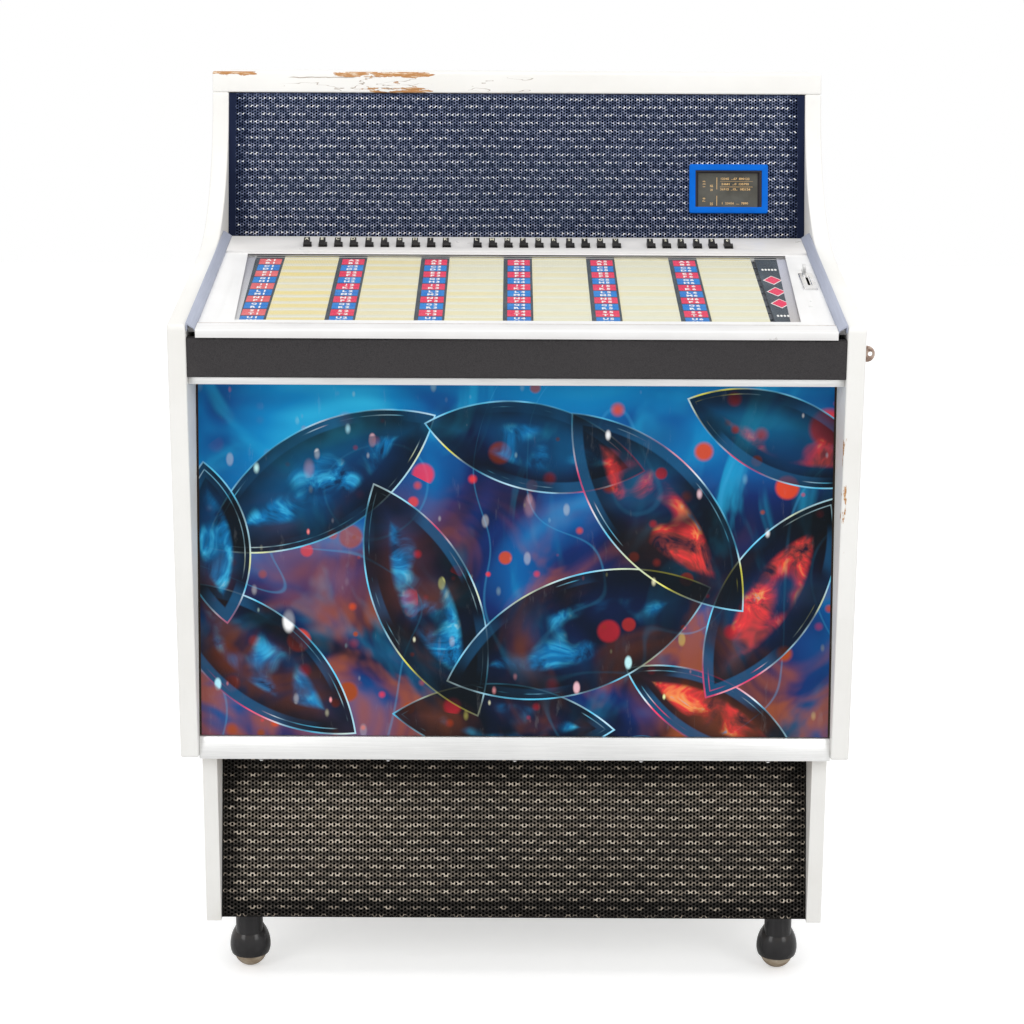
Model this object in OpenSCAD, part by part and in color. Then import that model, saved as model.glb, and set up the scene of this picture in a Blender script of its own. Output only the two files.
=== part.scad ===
// Coin-operated record player in a floor-standing cabinet: a sloping hinged lid with
// the title strips and the selector keys, a raised head behind it, a leaning picture
// panel in front, a narrower plinth on four hooded ball casters, and inside it a ring
// magazine of records with its transfer arm, upright turntable and tone arm.
//
// The origin is on the floor, in the middle of the cabinet's width and depth.
// +Z is up and the front faces -Y. The modules measure Y from the cabinet's front.

/* [Cabinet] */
// Width over the side panels
width = 900; // [880:5:960]
// Depth, from the front corner to the rear edge
depth = 650; // [640:5:720]
// Height, from the floor to the top board's upper face
height = 1235; // [1225:5:1300]
// Thickness of the side panels
side_t = 24; // [18:1:28]
// Height of the side panels' lower edge
skirt_z = 338; // [325:1:345]
// How far the front edge leans back at its foot
toe_back = 13; // [6:1:20]
// Height of the head above the side panels' front top corner
head_h = 309; // [300:1:330]
// Slope of the side panels' upper edge, in degrees
side_slope = 11; // [9:0.5:12]
// Radius of the curve between that edge and the head
head_r = 262; // [180:2:268]
// Distance of the head's front from the cabinet's front, at the top
head_y = 499; // [494:1:510]
// Lean of the head's front from the vertical, in degrees
head_lean = 10; // [8:0.5:12]
// Radius of the side panels' front top corner
nose_r = 9; // [4:1:16]
// Radius of the side panels' other corners
corner_r = 4; // [2:1:8]

/* [Boards] */
// Thickness of the top board
top_t = 30; // [22:1:34]
// Thickness of the floor board
floor_t = 18; // [12:1:24]
// Thickness of the apron board below the lid
apron_t = 18; // [12:1:24]
// Height of the apron board
apron_h = 52; // [44:1:56]
// How far the apron board stands behind the cabinet's front
apron_back = 4; // [1:1:8]
// Depth of the bridge board under the head grille
bridge_t = 56; // [50:1:66]
// Height of the bridge board
bridge_h = 84; // [60:2:100]
// Thickness of the rear panel
rear_t = 6; // [4:1:10]
// How far the rear panel lies inside the rear edge
rear_inset = 8; // [4:1:14]
// Width and height of the battens that carry the mechanism
batten = 22; // [16:1:26]
// Height of the battens' upper face above the floor board
batten_up = 74; // [60:2:84]

/* [Rear vents] */
// Length of a vent slot
vent_w = 180; // [120:10:220]
// Height of a vent slot
vent_h = 8; // [5:1:12]
// Slots in a column
vent_rows = 7; // [4:1:9]
// Distance between slots
vent_pitch = 22; // [16:1:28]

/* [Front] */
// Thickness of the picture panel
picture_t = 5; // [3:1:8]
// Lean of the picture panel from the vertical, in degrees
picture_lean = 6.4; // [5:0.1:7.5]
// Height of the light strip under the apron
strip_h = 10; // [6:1:14]
// How far the light strip stands behind the cabinet's front
strip_back = 13; // [9:1:16]
// Height of the bottom rail
rail_h = 30; // [22:1:36]
// How far the bottom rail stands behind the cabinet's front
rail_back = 18; // [16:1:22]
// Wall of the aluminium rails
rail_wall = 2; // [1.5:0.5:3]

/* [Grilles] */
// Thickness of the perforated sheets
sheet_t = 1.5; // [1:0.5:3]
// Width of their folded edges
fold = 14; // [8:1:18]
// Lean of the head grille from the vertical, in degrees
grille_lean = 12.4; // [11:0.2:13.4]
// Distance of the head grille from the head's front edge, at the top
grille_back = 2; // [1:0.5:6]
// Lean of the plinth grille from the vertical, in degrees
plinth_lean = 12.5; // [9:0.5:14]
// Distance of the plinth grille from the plinth's front, at the foot
plinth_recess = 5; // [3:1:9]

/* [Display window] */
// Width of the bezel
bezel_w = 116; // [90:2:130]
// Height of the bezel
bezel_h = 72; // [60:2:84]
// Width of the bezel's rim
bezel_rim = 9; // [6:1:12]
// How far the bezel stands out
bezel_t = 8; // [5:1:12]
// Radius of the bezel's corners
bezel_r = 3; // [1:0.5:5]
// Distance of the bezel's middle from the right side panel
bezel_in = 113; // [96:1:156]
// Height of the bezel's middle above the grille's foot
bezel_up = 84; // [70:1:100]

/* [Plinth] */
// Height of the plinth's underside
plinth_z = 89; // [84:1:94]
// Thickness of the plinth boards
plinth_t = 20; // [15:1:24]
// How far the plinth stands behind the cabinet's front
plinth_back = 48; // [40:1:56]
// Distance of the plinth's rear from the cabinet's rear
plinth_rear = 40; // [20:2:60]
// Radius of the bass loudspeakers' holes
speaker_r = 82; // [60:2:90]
// Distance of the loudspeakers from the middle
speaker_x = 200; // [150:5:240]
// Depth of the loudspeaker baskets
speaker_depth = 74; // [50:2:90]

/* [Casters] */
// Radius of the ball wheels
ball_r = 23; // [20:0.5:24]
// Outer radius of the hoods
hood_r = 28.5; // [28:0.5:31]
// Height of the hoods' widest place above the balls' middles
hood_up = 8; // [5:0.5:9]
// Radius of the curve from the hoods' widest place up to the neck
dome_r = 49; // [46:1:60]
// Radius of the neck above a hood
neck_r = 19; // [14:1:21]
// Distance of a ball's middle behind its swivel axis
trail = 7; // [4:1:9]
// Radius of the caster stems
stem_r = 5.5; // [4:0.5:7]
// Length of the stems inside the plinth
stem_h = 34; // [20:1:36]
// Radius of the ball wheels' axles
axle_r = 3; // [2:0.5:4]
// Distance of the caster stems from the plinth's sides
caster_in = 53; // [48:1:60]
// Distance of the caster stems from the plinth's front and rear
caster_end = 49; // [46:1:54]

/* [Lid] */
// Slope of the lid, in degrees
lid_slope = 11.5; // [10:0.5:12.5]
// Depth of the ledge between the lid's hinge and the head grille
ledge = 37; // [33:1:41]
// Thickness of the lid frame
lid_t = 11; // [10:1:14]
// Length of the front bar's upper face
bar_len = 26; // [18:1:30]
// Height of the front bar and key rail above the side fields
bar_up = 3; // [2:0.5:4]
// Depth of the notches between the front bar's ends and the side panels
bar_notch = 20; // [12:1:24]
// Length of the key rail along the slope
key_rail = 71; // [66:1:74]
// Wall of the key rail
key_wall = 3; // [2:0.5:4]
// Width of the side trims
trim_w = 12; // [8:1:16]
// How far the side trims rise at their outer edge
trim_up = 8; // [6:1:11]
// Width of the side fields beside the title window
field_w = 31; // [28:1:34]
// Thickness of the title glass
glass_t = 4; // [3:0.5:5]
// Width of the rebate under the glass
rebate = 6; // [4:1:9]

/* [Title rack] */
// Columns of title strips
rack_cols = 6; // [4:1:6]
// Rows of title strips
rack_rows = 10; // [8:1:12]
// Width of a column's label bar
label_w = 31.5; // [26:0.5:34]
// Width of the plain strip left of the first column
plain_w = 24.6; // [18:0.2:26]
// Width of the bar for the rules, right of the last column
rules_w = 28.5; // [22:0.5:30]
// Width of the plain strip right of that bar
plain_right = 9.9; // [8:0.1:14]
// Distance of the window's front edge from the front bar
window_front = 17; // [14:0.5:20]
// Distance of the window's rear edge from the key rail
window_rear = 7; // [7:0.5:10]
// Height of the ribs that hold the strips
rib_up = 1.6; // [1:0.2:2]
// Thickness of the ribs
rib_t = 1.2; // [0.8:0.2:2]
// Thickness of the rack's plate
rack_t = 2; // [1.5:0.5:3]

/* [Keys] */
// Distance between neighbouring keys
key_pitch = 22.2; // [19:0.1:22.5]
// Width of a key
key_w = 8.6; // [7:0.2:9.4]
// Length of a key along the slope
key_len = 23; // [18:1:26]
// Height of a key's rear edge above the rail
key_up = 8; // [6:0.5:10]
// Width of the step on a key's right side
step_w = 3.2; // [2:0.2:4]
// Length of that step
step_len = 10; // [7:1:13]
// Travel of a key
key_travel = 4; // [2:0.5:4.5]
// Distance of the keys' front edge from the key rail's front edge
key_in = 20; // [12:1:26]
// Middle of the first ten letters, as a share of half the rail
first_letters = -0.4837; // [-0.5:0.001:-0.46]
// Middle of the last ten letters
last_letters = 0.1064; // [0.08:0.001:0.13]
// Middle of the six numbers
numbers = 0.6022; // [0.58:0.001:0.66]

/* [Coin entry] */
// Width of the coin plate
coin_w = 20; // [16:1:22]
// Length of the coin plate
coin_len = 70; // [60:1:76]
// Thickness of the coin plate
coin_t = 2.5; // [1.5:0.5:4]
// Width of the coin slot
slot_w = 3.4; // [2.6:0.2:3.8]
// Length of the coin slot
slot_len = 34; // [26:1:40]
// Distance of the coin plate's front from the lid's front
coin_s = 178; // [160:1:190]
// Thickness of the reject lever
lever_t = 4; // [3:0.5:5]
// Height of the reject lever above the side field
lever_up = 11; // [8:1:14]

/* [Lock ear] */
// How far the ear stands out
ear_out = 13; // [11:0.5:14]
// Height of the ear
ear_h = 21; // [17:1:24]
// Radius of the hole in the ear
ear_hole = 3; // [2:0.25:3.5]
// Thickness of the ear's sheet
ear_t = 3; // [2:0.5:4]
// Depth of the hole in the ear below the side panels' front top corner
ear_down = 35; // [26:1:56]
// Distance of the ear from the cabinet's front
ear_back = 12; // [8:1:20]
// Length of the ear's foot along the side panel
ear_foot = 34; // [24:1:40]

/* [Mechanism] */
// Radius of a record
record_r = 87.5; // [80:0.5:90]
// Thickness of a record
record_t = 1.5; // [1:0.1:1.8]
// Records in the magazine
record_n = 60; // [40:1:60]
// Radius of the space inside the ring of records
ring_in = 66; // [62:1:70]
// Thickness of the fins between the records
fin_t = 1.2; // [0.8:0.1:1.4]
// Height of the fins at the magazine's rim
fin_low = 12; // [8:1:16]
// Height of the fins at the magazine's hub
fin_high = 120; // [90:5:130]
// Radius of the magazine's post
post_r = 8; // [6:0.5:10]
// Length of the tone arm's tail
tone_tail = 22; // [18:1:26]
// Length of the tone arm's head
head_len = 24; // [20:1:26]
// Thickness of the tone arm's head
head_t = 18; // [14:1:19]
// Distance between the magazine's outer record and the turntable's middle
swing = 228; // [224:1:240]
// Thickness of the mechanism's sheet steel
mech_t = 2.5; // [1.5:0.5:3]
// Radius of the platter
platter_r = 84; // [70:1:86]
// Radius of the platter's middle
spindle_r = 18.8; // [17:0.2:19]
// Radius of the small shafts
shaft_r = 5; // [4:0.5:6]
// Thickness of the platter
platter_t = 6; // [4:0.5:8]
// Length of the platter's middle
spindle_len = 8; // [6:0.5:9]
// Distance of the platter from its upright plate
platter_gap = 10; // [8:0.5:12]
// Radius of the platter's pulley
pulley_r = 26; // [18:1:30]
// Reach of the gripper arm's front from the upright plate
gripper_front = 34; // [32:1:36]
// Thickness of the gripper arm
gripper_t = 6; // [4:0.5:8]
// Length of the tone arm
tone_len = 125; // [115:1:130]
// Reach of the tone arm's front from the upright plate
tone_front = 40; // [38:1:44]
// Distance of the tone arm's pivot beside the platter's middle
tone_side = 108; // [106:1:112]
// Height of the tone arm's pivot above the platter's middle
tone_above = 89; // [80:1:96]
// Angle of the tone arm from the vertical at rest, in degrees
tone_rest = 6.5; // [5:0.5:7]
// Margin of the upright plate around the shafts
plate_edge = 20; // [16:1:24]
// Distance between the chassis's rubbers, front to back
rubber_span = 400; // [340:10:440]

/* [Hidden] */
KEY_NAMES = ["A", "B", "C", "D", "E", "F", "G", "H", "J", "K",
             "L", "M", "N", "P", "Q", "R", "S", "T", "U", "V",
             "1", "2", "3", "4", "5", "6"];
$fn = 48;

seat = 0.3;          // gap between parts that are fitted together
play = 0.5;          // gap beside parts that move past each other
run = 0.05;          // radial clearance of a shaft in its bore
inner = width / 2 - side_t;          // half the width between the side panels
top_z = height - top_t;
nose_z = height - head_h;            // height of the side panels' front top corner

// Outline of a side panel: Y and Z of its corners.
slope_dir = [cos(side_slope), sin(side_slope)];
head_dir = [sin(head_lean), cos(head_lean)];
nose = [0, nose_z];
head_top = [head_y, top_z];
bend = nose + slope_dir * (head_y * cos(head_lean) - (top_z - nose_z) * sin(head_lean))
       / cos(side_slope + head_lean);
bend_half = (90 + side_slope + head_lean) / 2;
bend_r = min(head_r, (norm(head_top - bend) - 1) * tan(bend_half));
foot = [toe_back, skirt_z];

// The lid lies in its own frame: X, S up the slope, H square to it.
lid_z = nose_z - trim_up * cos(lid_slope) + 3;   // the trims stand 3 above the nose
lid_half = inner - play;             // half the width of the lid
hinge_n = 15;                        // knuckles of the piano hinge
knuckle_r = 5.5;
leaf_t = 2;
leaf_h = 36;                         // height of the hinge's fixed leaf
leaf_l = 26;                         // length of its moving leaf
pin_r = 2.5;
bar_half = lid_half - trim_w;        // half the width of the front bar and key rail
hinge_h = -lid_t - knuckle_r;
// Where the hinge lies along the slope, for the ledge to have its depth.
grille_tilt = tan(grille_lean);
grille_top = [head_y + grille_back, top_z - 1];
bridge_down = 2;                     // depth of the bridge's upper face under the hinge's axis
hinge_to_bridge = knuckle_r + play + leaf_t;
hinge_s = (grille_top[0] - ledge - hinge_to_bridge
           - (grille_top[1] + bridge_down - seat - lid_z - hinge_h * cos(lid_slope)) * grille_tilt
           + hinge_h * sin(lid_slope)) / (cos(lid_slope) - grille_tilt * sin(lid_slope));
lid_len = hinge_s - knuckle_r + play; // length of the lid along its slope
hinge_y = hinge_s * cos(lid_slope) - hinge_h * sin(lid_slope);
hinge_z = lid_z + hinge_s * sin(lid_slope) + hinge_h * cos(lid_slope);
rail_s = lid_len - key_rail;         // front edge of the key rail
window_s0 = bar_len + window_front;  // front edge of the title window
window_s1 = rail_s - window_rear;    // rear edge of the title window
window_half = lid_half - trim_w - field_w;
coin_x = window_half + rebate + coin_w / 2 + 1.5;
lever_s = coin_s + coin_len + 10;    // pivot of the reject lever
lever_h = -bar_up - 4;
key_s = rail_s + key_in;             // front edge of the keys
group_x = bar_half * [first_letters, last_letters, numbers];
rack_s0 = window_s0 + 5;
rack_l = window_s1 - window_s0 - 10;
row_pitch = rack_l / rack_rows;
rack_x0 = -window_half + plain_w;    // left edge of the first column
col_pitch = (2 * window_half - plain_w - rules_w - plain_right) / rack_cols;

// Boards and grilles behind the lid.
bridge_y = hinge_y + hinge_to_bridge;
bridge_z = hinge_z - bridge_down;    // upper face of the bridge board
grille_foot = [bridge_y + ledge, bridge_z + seat];
bezel_x = inner - bezel_in;          // middle of the display window
rear_y = depth - rear_inset;
floor_top = skirt_z + floor_t;
apron_top = lid_z - lid_t / cos(lid_slope) - seat;
apron_z = apron_top - apron_h;       // lower face of the apron board
strip_z = apron_z - strip_h - seat;
rail_z = skirt_z - 3;                // lower face of the bottom rail
rail_lean = rail_h * 0.2;            // how far the bottom rail's face leans back
picture_foot = [rail_back + rail_lean + 4, rail_z + rail_h + seat];
picture_h = (strip_z - picture_foot[1]) / cos(picture_lean) - picture_t * tan(picture_lean) - 1;
picture_top_y = picture_foot[0] + picture_h * sin(picture_lean);
floor_y = rail_back + rail_wall + 14;

// Plinth and casters.
plinth_end = depth - plinth_rear;
plinth_tilt = tan(plinth_lean);
plinth_floor_y = plinth_back + plinth_recess + fold / cos(plinth_lean) + plinth_t * plinth_tilt
                 + seat;
baffle_y = plinth_back + plinth_recess + (skirt_z - plinth_z) * plinth_tilt + fold + 1;
speaker_z = (plinth_z + plinth_t + skirt_z) / 2;
caster_x = inner - caster_in;
caster_ys = [plinth_back + caster_end, plinth_end - caster_end];
block_h = stem_h + 6;                         // height of the blocks over the casters
block_w = 2 * (caster_in - plinth_t) - 2;
block_l = 2 * (caster_end - plinth_recess - fold - block_h * plinth_tilt - 2);
hood_z = ball_r + hood_up;                    // middle of a hood's sphere
hood_cut = ball_r - 3;                        // height of a hood's rim
// where the dome has narrowed to the neck
dome_rise = sqrt(pow(dome_r, 2) - pow(dome_r - hood_r + neck_r, 2));

// Mechanism.
batten_z = floor_top + batten_up;
rubber_h = 12;
deck_z = batten_z + rubber_h;                 // underside of the chassis tray
deck_top = deck_z + mech_t;
magazine_z = deck_top + 18;                   // underside of the magazine's hub
disc_z = magazine_z + 10;                     // underside of the magazine's plate
ring_out = ring_in + 2 * record_r + 6;        // radius of the magazine's plate
record_z = disc_z + 3 + seat + record_r;      // height of the records' middles
// The magazine, the turntable and the tone arm together stand midway between the side
// panels, and the magazine midway between the picture panel and the rear panel.
mech_w = ring_out + ring_in + record_r + swing + tone_side + plate_edge;
ring_x = mech_w / 2 - ring_out;               // middle of the magazine, left of the middle
front_in = picture_foot[0] + picture_t
           + (record_z + record_r - picture_foot[1]) * tan(picture_lean);
ring_y = (front_in + rear_y - rear_t) / 2;    // middle of the magazine, from the front
table_x = swing - ring_x + ring_in + record_r;
arm_x = table_x - swing / 2;
plate_y = ring_y + 17;                        // front of the upright mounting plate
tone_x = table_x + tone_side;
tone_z = record_z + tone_above;

// ---- helpers --------------------------------------------------------------

function unit(v) = v / norm(v);
// Points of an arc of radius r that rounds the corner p between points a and b.
function rounded(a, p, b, r, n = 6) =
  let (u = unit(a - p), v = unit(b - p), half = acos(u * v) / 2,
       c = p + unit(u + v) * r / sin(half),
       s = p + u * r / tan(half) - c, e = p + v * r / tan(half) - c,
       a0 = atan2(s[1], s[0]), d = atan2(e[1], e[0]) - a0,
       sweep = d > 180 ? d - 360 : d < -180 ? d + 360 : d)
  [for (i = [0:n]) c + r * [cos(a0 + sweep * i / n), sin(a0 + sweep * i / n)]];
// Middle of a key, in X: two groups of ten letters and one of six numbers.
function key_x(i) =
  i < 20 ? group_x[floor(i / 10)] + (i % 10 - 4.5) * key_pitch
         : group_x[2] + (i - 22.5) * key_pitch;

// A profile of Y and Z, drawn out along X from x0 to x1.
module across(x0, x1) {
  translate([x0, 0, 0]) rotate([90, 0, 90]) linear_extrude(x1 - x0) children();
}
// The same, as far to the left as to the right.
module between(half) { across(-half, half) children(); }
module both_sides() { for (s = [0, 1]) mirror([s, 0, 0]) children(); }
module rounded_square(w, h, r) {
  union() {
    square([w - 2 * r, h], center = true);
    square([w, h - 2 * r], center = true);
    for (x = [-1, 1], y = [-1, 1])
      translate([x * (w / 2 - r), y * (h / 2 - r)]) circle(r, $fn = 24);
  }
}
// A sheet with folded-back edges, standing on z = 0 and facing -Y.
module folded_sheet(w, h) {
  difference() {
    translate([-w / 2, 0, 0]) cube([w, fold, h]);
    translate([-w / 2 + sheet_t, sheet_t, sheet_t])
      cube([w - 2 * sheet_t, fold, h - 2 * sheet_t]);
  }
}
// Puts what is drawn in the lid's own frame onto the cabinet.
module on_lid() { translate([0, 0, lid_z]) rotate([lid_slope, 0, 0]) children(); }
// A cylinder along Y, from y0 to y1.
module rod(r, y0, y1) { translate([0, y0, 0]) rotate([-90, 0, 0]) cylinder(r = r, h = y1 - y0); }

// ---- side panels and boards ----------------------------------------------

module side_panels() {
  outline = concat(
    [head_top],
    rounded(head_top, bend, nose, bend_r, 28),
    rounded(bend, nose, foot, nose_r),
    rounded(nose, foot, [depth, skirt_z], corner_r),
    rounded(foot, [depth, skirt_z], [depth, top_z], corner_r),
    [[depth, top_z]]);
  color("white") both_sides() across(inner, width / 2) polygon(outline);
}

module top_board() {
  lip = head_top + head_dir * top_t / cos(head_lean);
  color("white") between(width / 2) polygon(concat(
    rounded([depth, top_z], head_top, lip, corner_r / 2),
    rounded(head_top, lip, [depth, height], corner_r),
    rounded(lip, [depth, height], [depth, top_z], corner_r),
    [[depth, top_z]]));
}

module cabinet_frame() {
  color("burlywood") {
    between(inner) translate([floor_y, skirt_z])
      square([rear_y - rear_t - floor_y, floor_t]);
    between(inner) translate([bridge_y, bridge_z - bridge_h]) square([bridge_t, bridge_h]);
    both_sides() across(inner - batten, inner)
      translate([ring_y - ring_out, batten_z - batten])
        square([rear_y - rear_t - ring_y + ring_out, batten]);
  }
}

module rear_panel() {
  z0 = floor_top + seat;
  z1 = top_z - seat;
  column = (vent_rows - 1) * vent_pitch;
  color("saddlebrown") translate([0, rear_y, 0]) rotate([90, 0, 0]) linear_extrude(rear_t)
    difference() {
      translate([-inner + seat, z0]) square([2 * (inner - seat), z1 - z0]);
      for (x = [-0.5, 0.5], z = [z0 + (z1 - z0) / 4, z1 - (z1 - z0) / 4], i = [0:vent_rows - 1])
        translate([x * inner, z - column / 2 + i * vent_pitch])
          rounded_square(vent_w, vent_h, vent_h * 0.49);
    }
}

// ---- plinth ---------------------------------------------------------------

module plinth_box() {
  span = 2 * (inner - plinth_t);
  color("white") difference() {
    union() {
      both_sides() translate([inner - plinth_t, plinth_back, plinth_z])
        cube([plinth_t, plinth_end - plinth_back, skirt_z - plinth_z]);
      translate([-span / 2, plinth_end - plinth_t, plinth_z])
        cube([span, plinth_t, skirt_z - plinth_z]);
      translate([-span / 2, plinth_floor_y, plinth_z])
        cube([span, plinth_end - plinth_t - plinth_floor_y, plinth_t]);
      translate([-span / 2, baffle_y, plinth_z + plinth_t])
        cube([span, plinth_t / 2, skirt_z - plinth_z - plinth_t]);
      for (x = [-1, 1], y = caster_ys)
        translate([x * caster_x - block_w / 2, y - block_l / 2, plinth_z + plinth_t])
          cube([block_w, block_l, block_h - plinth_t]);
    }
    for (x = [-1, 1]) translate([x * speaker_x, 0, speaker_z])
      rod(speaker_r, baffle_y - 1, baffle_y + plinth_t / 2 + 1);
    for (x = [-1, 1], y = caster_ys) translate([x * caster_x, y, plinth_z - 1])
      cylinder(r = stem_r + run, h = stem_h + 1 + seat);
  }
}

// One bass loudspeaker: basket, cone and magnet, its rim at z = 0, facing +Z.
module loudspeaker() {
  rim = speaker_r + 8;
  coil = speaker_r * 0.42;
  rotate_extrude() polygon([
    [0, -speaker_depth], [coil, -speaker_depth], [coil, -speaker_depth * 0.6],
    [coil * 0.8, -speaker_depth * 0.6], [speaker_r - 6, -5], [rim, -4], [rim, 0],
    [speaker_r - 8, 0], [coil * 0.5, -speaker_depth * 0.5], [0, -speaker_depth * 0.4]]);
}
module loudspeakers() {
  color("dimgray") for (x = [-1, 1])
    translate([x * speaker_x, baffle_y + plinth_t / 2, speaker_z])
      rotate([90, 0, 0]) loudspeaker();
}

// ---- grilles and front ----------------------------------------------------

module head_grille() {
  lift = fold * sin(grille_lean);    // the lower fold's rear edge stands on the bridge
  h = (grille_top[1] - grille_foot[1] - lift) / cos(grille_lean);
  color("midnightblue")
    translate([0, grille_foot[0] + lift * tan(grille_lean), grille_foot[1] + lift])
      rotate([-grille_lean, 0, 0]) folded_sheet(2 * (inner - seat), h);
}

module plinth_grille() {
  lift = fold * sin(plinth_lean);
  h = (skirt_z - seat - plinth_z - lift) / cos(plinth_lean);
  color([0.16, 0.14, 0.13])
    translate([0, plinth_back + plinth_recess + lift * plinth_tilt, plinth_z + lift])
      rotate([-plinth_lean, 0, 0]) folded_sheet(2 * (inner - plinth_t - seat), h);
}

module picture_panel() {
  lift = picture_t * sin(picture_lean);
  color("royalblue") translate([0, picture_foot[0], picture_foot[1] + lift])
    rotate([-picture_lean, 0, 0])
      translate([-inner + seat, 0, 0]) cube([2 * (inner - seat), picture_t, picture_h]);
}

module apron_band() {
  z0 = apron_z;
  color([0.17, 0.17, 0.18]) between(inner) polygon(concat(
    rounded([apron_back + apron_t, z0], [apron_back, z0], [apron_back, apron_top], 3),
    rounded([apron_back, z0], [apron_back, apron_top], [apron_back + apron_t, apron_top], 4),
    [[apron_back + apron_t, apron_top], [apron_back + apron_t, z0]]));
}

module front_rails() {
  w = rail_wall;
  color("gainsboro") {
    // light strip: a face under the apron and a shelf back to the picture panel
    between(inner - seat) polygon([
      [strip_back, strip_z], [picture_top_y + picture_t, strip_z],
      [picture_top_y + picture_t, strip_z + w], [strip_back + w, strip_z + w],
      [strip_back + w, strip_z + strip_h], [strip_back, strip_z + strip_h]]);
    // bottom rail: a channel that the picture panel stands in
    y0 = rail_back;
    y1 = picture_foot[0] + picture_t + 3;
    z1 = rail_z + rail_h;
    between(inner - seat) polygon([
      [y0, rail_z], [floor_y - seat, rail_z], [floor_y - seat, rail_z + w],
      [y0 + w + rail_lean * w / rail_h, rail_z + w],
      [y0 + rail_lean + w, z1 - w], [y1, z1 - w], [y1, z1], [y0 + rail_lean, z1]]);
  }
}

// The display window's bezel stands on the head grille; a face plate fills it.
module display_window() {
  foot_y = grille_foot[0];
  color("royalblue") translate([bezel_x, foot_y, grille_foot[1]]) rotate([90 - grille_lean, 0, 0])
    translate([0, bezel_up, 0]) {
      difference() {
        linear_extrude(bezel_t) rounded_square(bezel_w, bezel_h, bezel_r);
        translate([0, 0, -1]) linear_extrude(bezel_t + 2)
          square([bezel_w - 2 * bezel_rim, bezel_h - 2 * bezel_rim], center = true);
      }
      linear_extrude(bezel_t / 4)
        square([bezel_w - 2 * bezel_rim - seat, bezel_h - 2 * bezel_rim - seat], center = true);
    }
}

// A lug with a hole for a padlock, on a flat foot along the right side panel.
module lock_ear() {
  round_r = ear_h / 2;
  color("rosybrown") translate([width / 2, ear_back, nose_z - ear_down]) difference() {
    union() {
      translate([0, ear_t, 0]) rotate([90, 0, 0]) linear_extrude(ear_t) {
        translate([ear_out - round_r, 0]) intersection() {
          circle(round_r);
          translate([round_r - ear_out, -round_r]) square([ear_out, ear_h]);
        }
        translate([0, -round_r]) square([ear_out - round_r, ear_h]);
      }
      translate([0, 0, -ear_h / 2]) cube([2, ear_foot, ear_h]);
    }
    translate([ear_out - ear_hole * 2, 0, 0]) rod(ear_hole, -1, ear_t + 1);
  }
}

// ---- lid ------------------------------------------------------------------

// Every other knuckle of the piano hinge, with a web that carries each to its leaf.
module knuckles(first, web) {
  pitch = 2 * lid_half / hinge_n;
  for (i = [first:2:hinge_n - 1])
    translate([-lid_half + i * pitch + play / 2, 0, 0]) {
      rotate([0, 90, 0]) cylinder(r = knuckle_r, h = pitch - play);
      translate([0, min(web, 0), web < 0 ? knuckle_r - leaf_t : -leaf_t])
        cube([pitch - play, abs(web), leaf_t]);
    }
}

// Fixed leaf and pin, on the bridge board's front.
module hinge_rail() {
  color("silver") translate([0, hinge_y, hinge_z]) {
    knuckles(1, hinge_to_bridge);
    rotate([0, 90, 0]) translate([0, 0, -lid_half + play])
      cylinder(r = pin_r, h = 2 * (lid_half - play));
    between(lid_half) translate([knuckle_r + play, -leaf_h]) square([leaf_t, leaf_h]);
  }
}

// Outline of a key in X and S: a bar with a step on its right side.
module key_outline(grow) {
  translate([-(key_w + step_w) / 2 - grow, -grow])
    square([key_w + 2 * grow, key_len + 2 * grow]);
  translate([-(key_w + step_w) / 2 - grow, -grow])
    square([key_w + step_w + 2 * grow, step_len + 2 * grow]);
}

// Front bar, side fields and key rail; the title window and the slots go through.
module lid_frame() {
  color("white") on_lid() difference() {
    union() {
      translate([-bar_half, 6, -lid_t]) cube([2 * bar_half, rail_s - 5, lid_t - bar_up]);
      both_sides() translate([bar_half - 1, bar_notch, -lid_t])
        cube([trim_w + 1, lid_len - bar_notch, lid_t - bar_up]);
      between(bar_half) polygon(concat(
        rounded([bar_len, 0], [0, 0], [-lid_t * tan(lid_slope), -lid_t], 3),
        [[-lid_t * tan(lid_slope), -lid_t], [bar_len + 4, -lid_t], [bar_len + 4, -bar_up],
         [bar_len, 0]]));
      between(bar_half) polygon([
        [rail_s, -lid_t], [rail_s, 0], [lid_len, 0], [lid_len, -lid_t],
        [lid_len - key_wall, -lid_t], [lid_len - key_wall, -key_wall],
        [rail_s + key_wall, -key_wall], [rail_s + key_wall, -lid_t]]);
      // moving leaf of the hinge
      translate([-lid_half, lid_len - leaf_l, -lid_t - leaf_t])
        cube([2 * lid_half, leaf_l, leaf_t]);
      translate([0, hinge_s, hinge_h]) knuckles(0, lid_len - hinge_s - 1);
    }
    translate([-lid_half - 1, hinge_s, hinge_h]) rotate([0, 90, 0])
      cylinder(r = pin_r + run, h = 2 * lid_half + 2);
    translate([-window_half, window_s0, -lid_t - 1])
      cube([2 * window_half, window_s1 - window_s0, lid_t + 2]);
    translate([-window_half - rebate, window_s0 - rebate, -bar_up - glass_t])
      cube([2 * (window_half + rebate), window_s1 - window_s0 + 2 * rebate, lid_t]);
    for (i = [0:25]) translate([key_x(i), key_s, -key_wall - 1])
      linear_extrude(key_wall + 2) key_outline(play);
    translate([coin_x, coin_s + coin_len / 2, -lid_t - 1])
      linear_extrude(lid_t + 2) square([slot_w + 1, slot_len + 1], center = true);
    translate([coin_x - lever_t / 2 - play, lever_s - 9, -lid_t - 1])
      cube([lever_t + 2 * play, 22, lid_t + 2]);
    translate([coin_x - lever_t / 2 - 5, lever_s, lever_h]) rotate([0, 90, 0])
      cylinder(r = 1.5 + run, h = lever_t + 10);
  }
}

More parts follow.
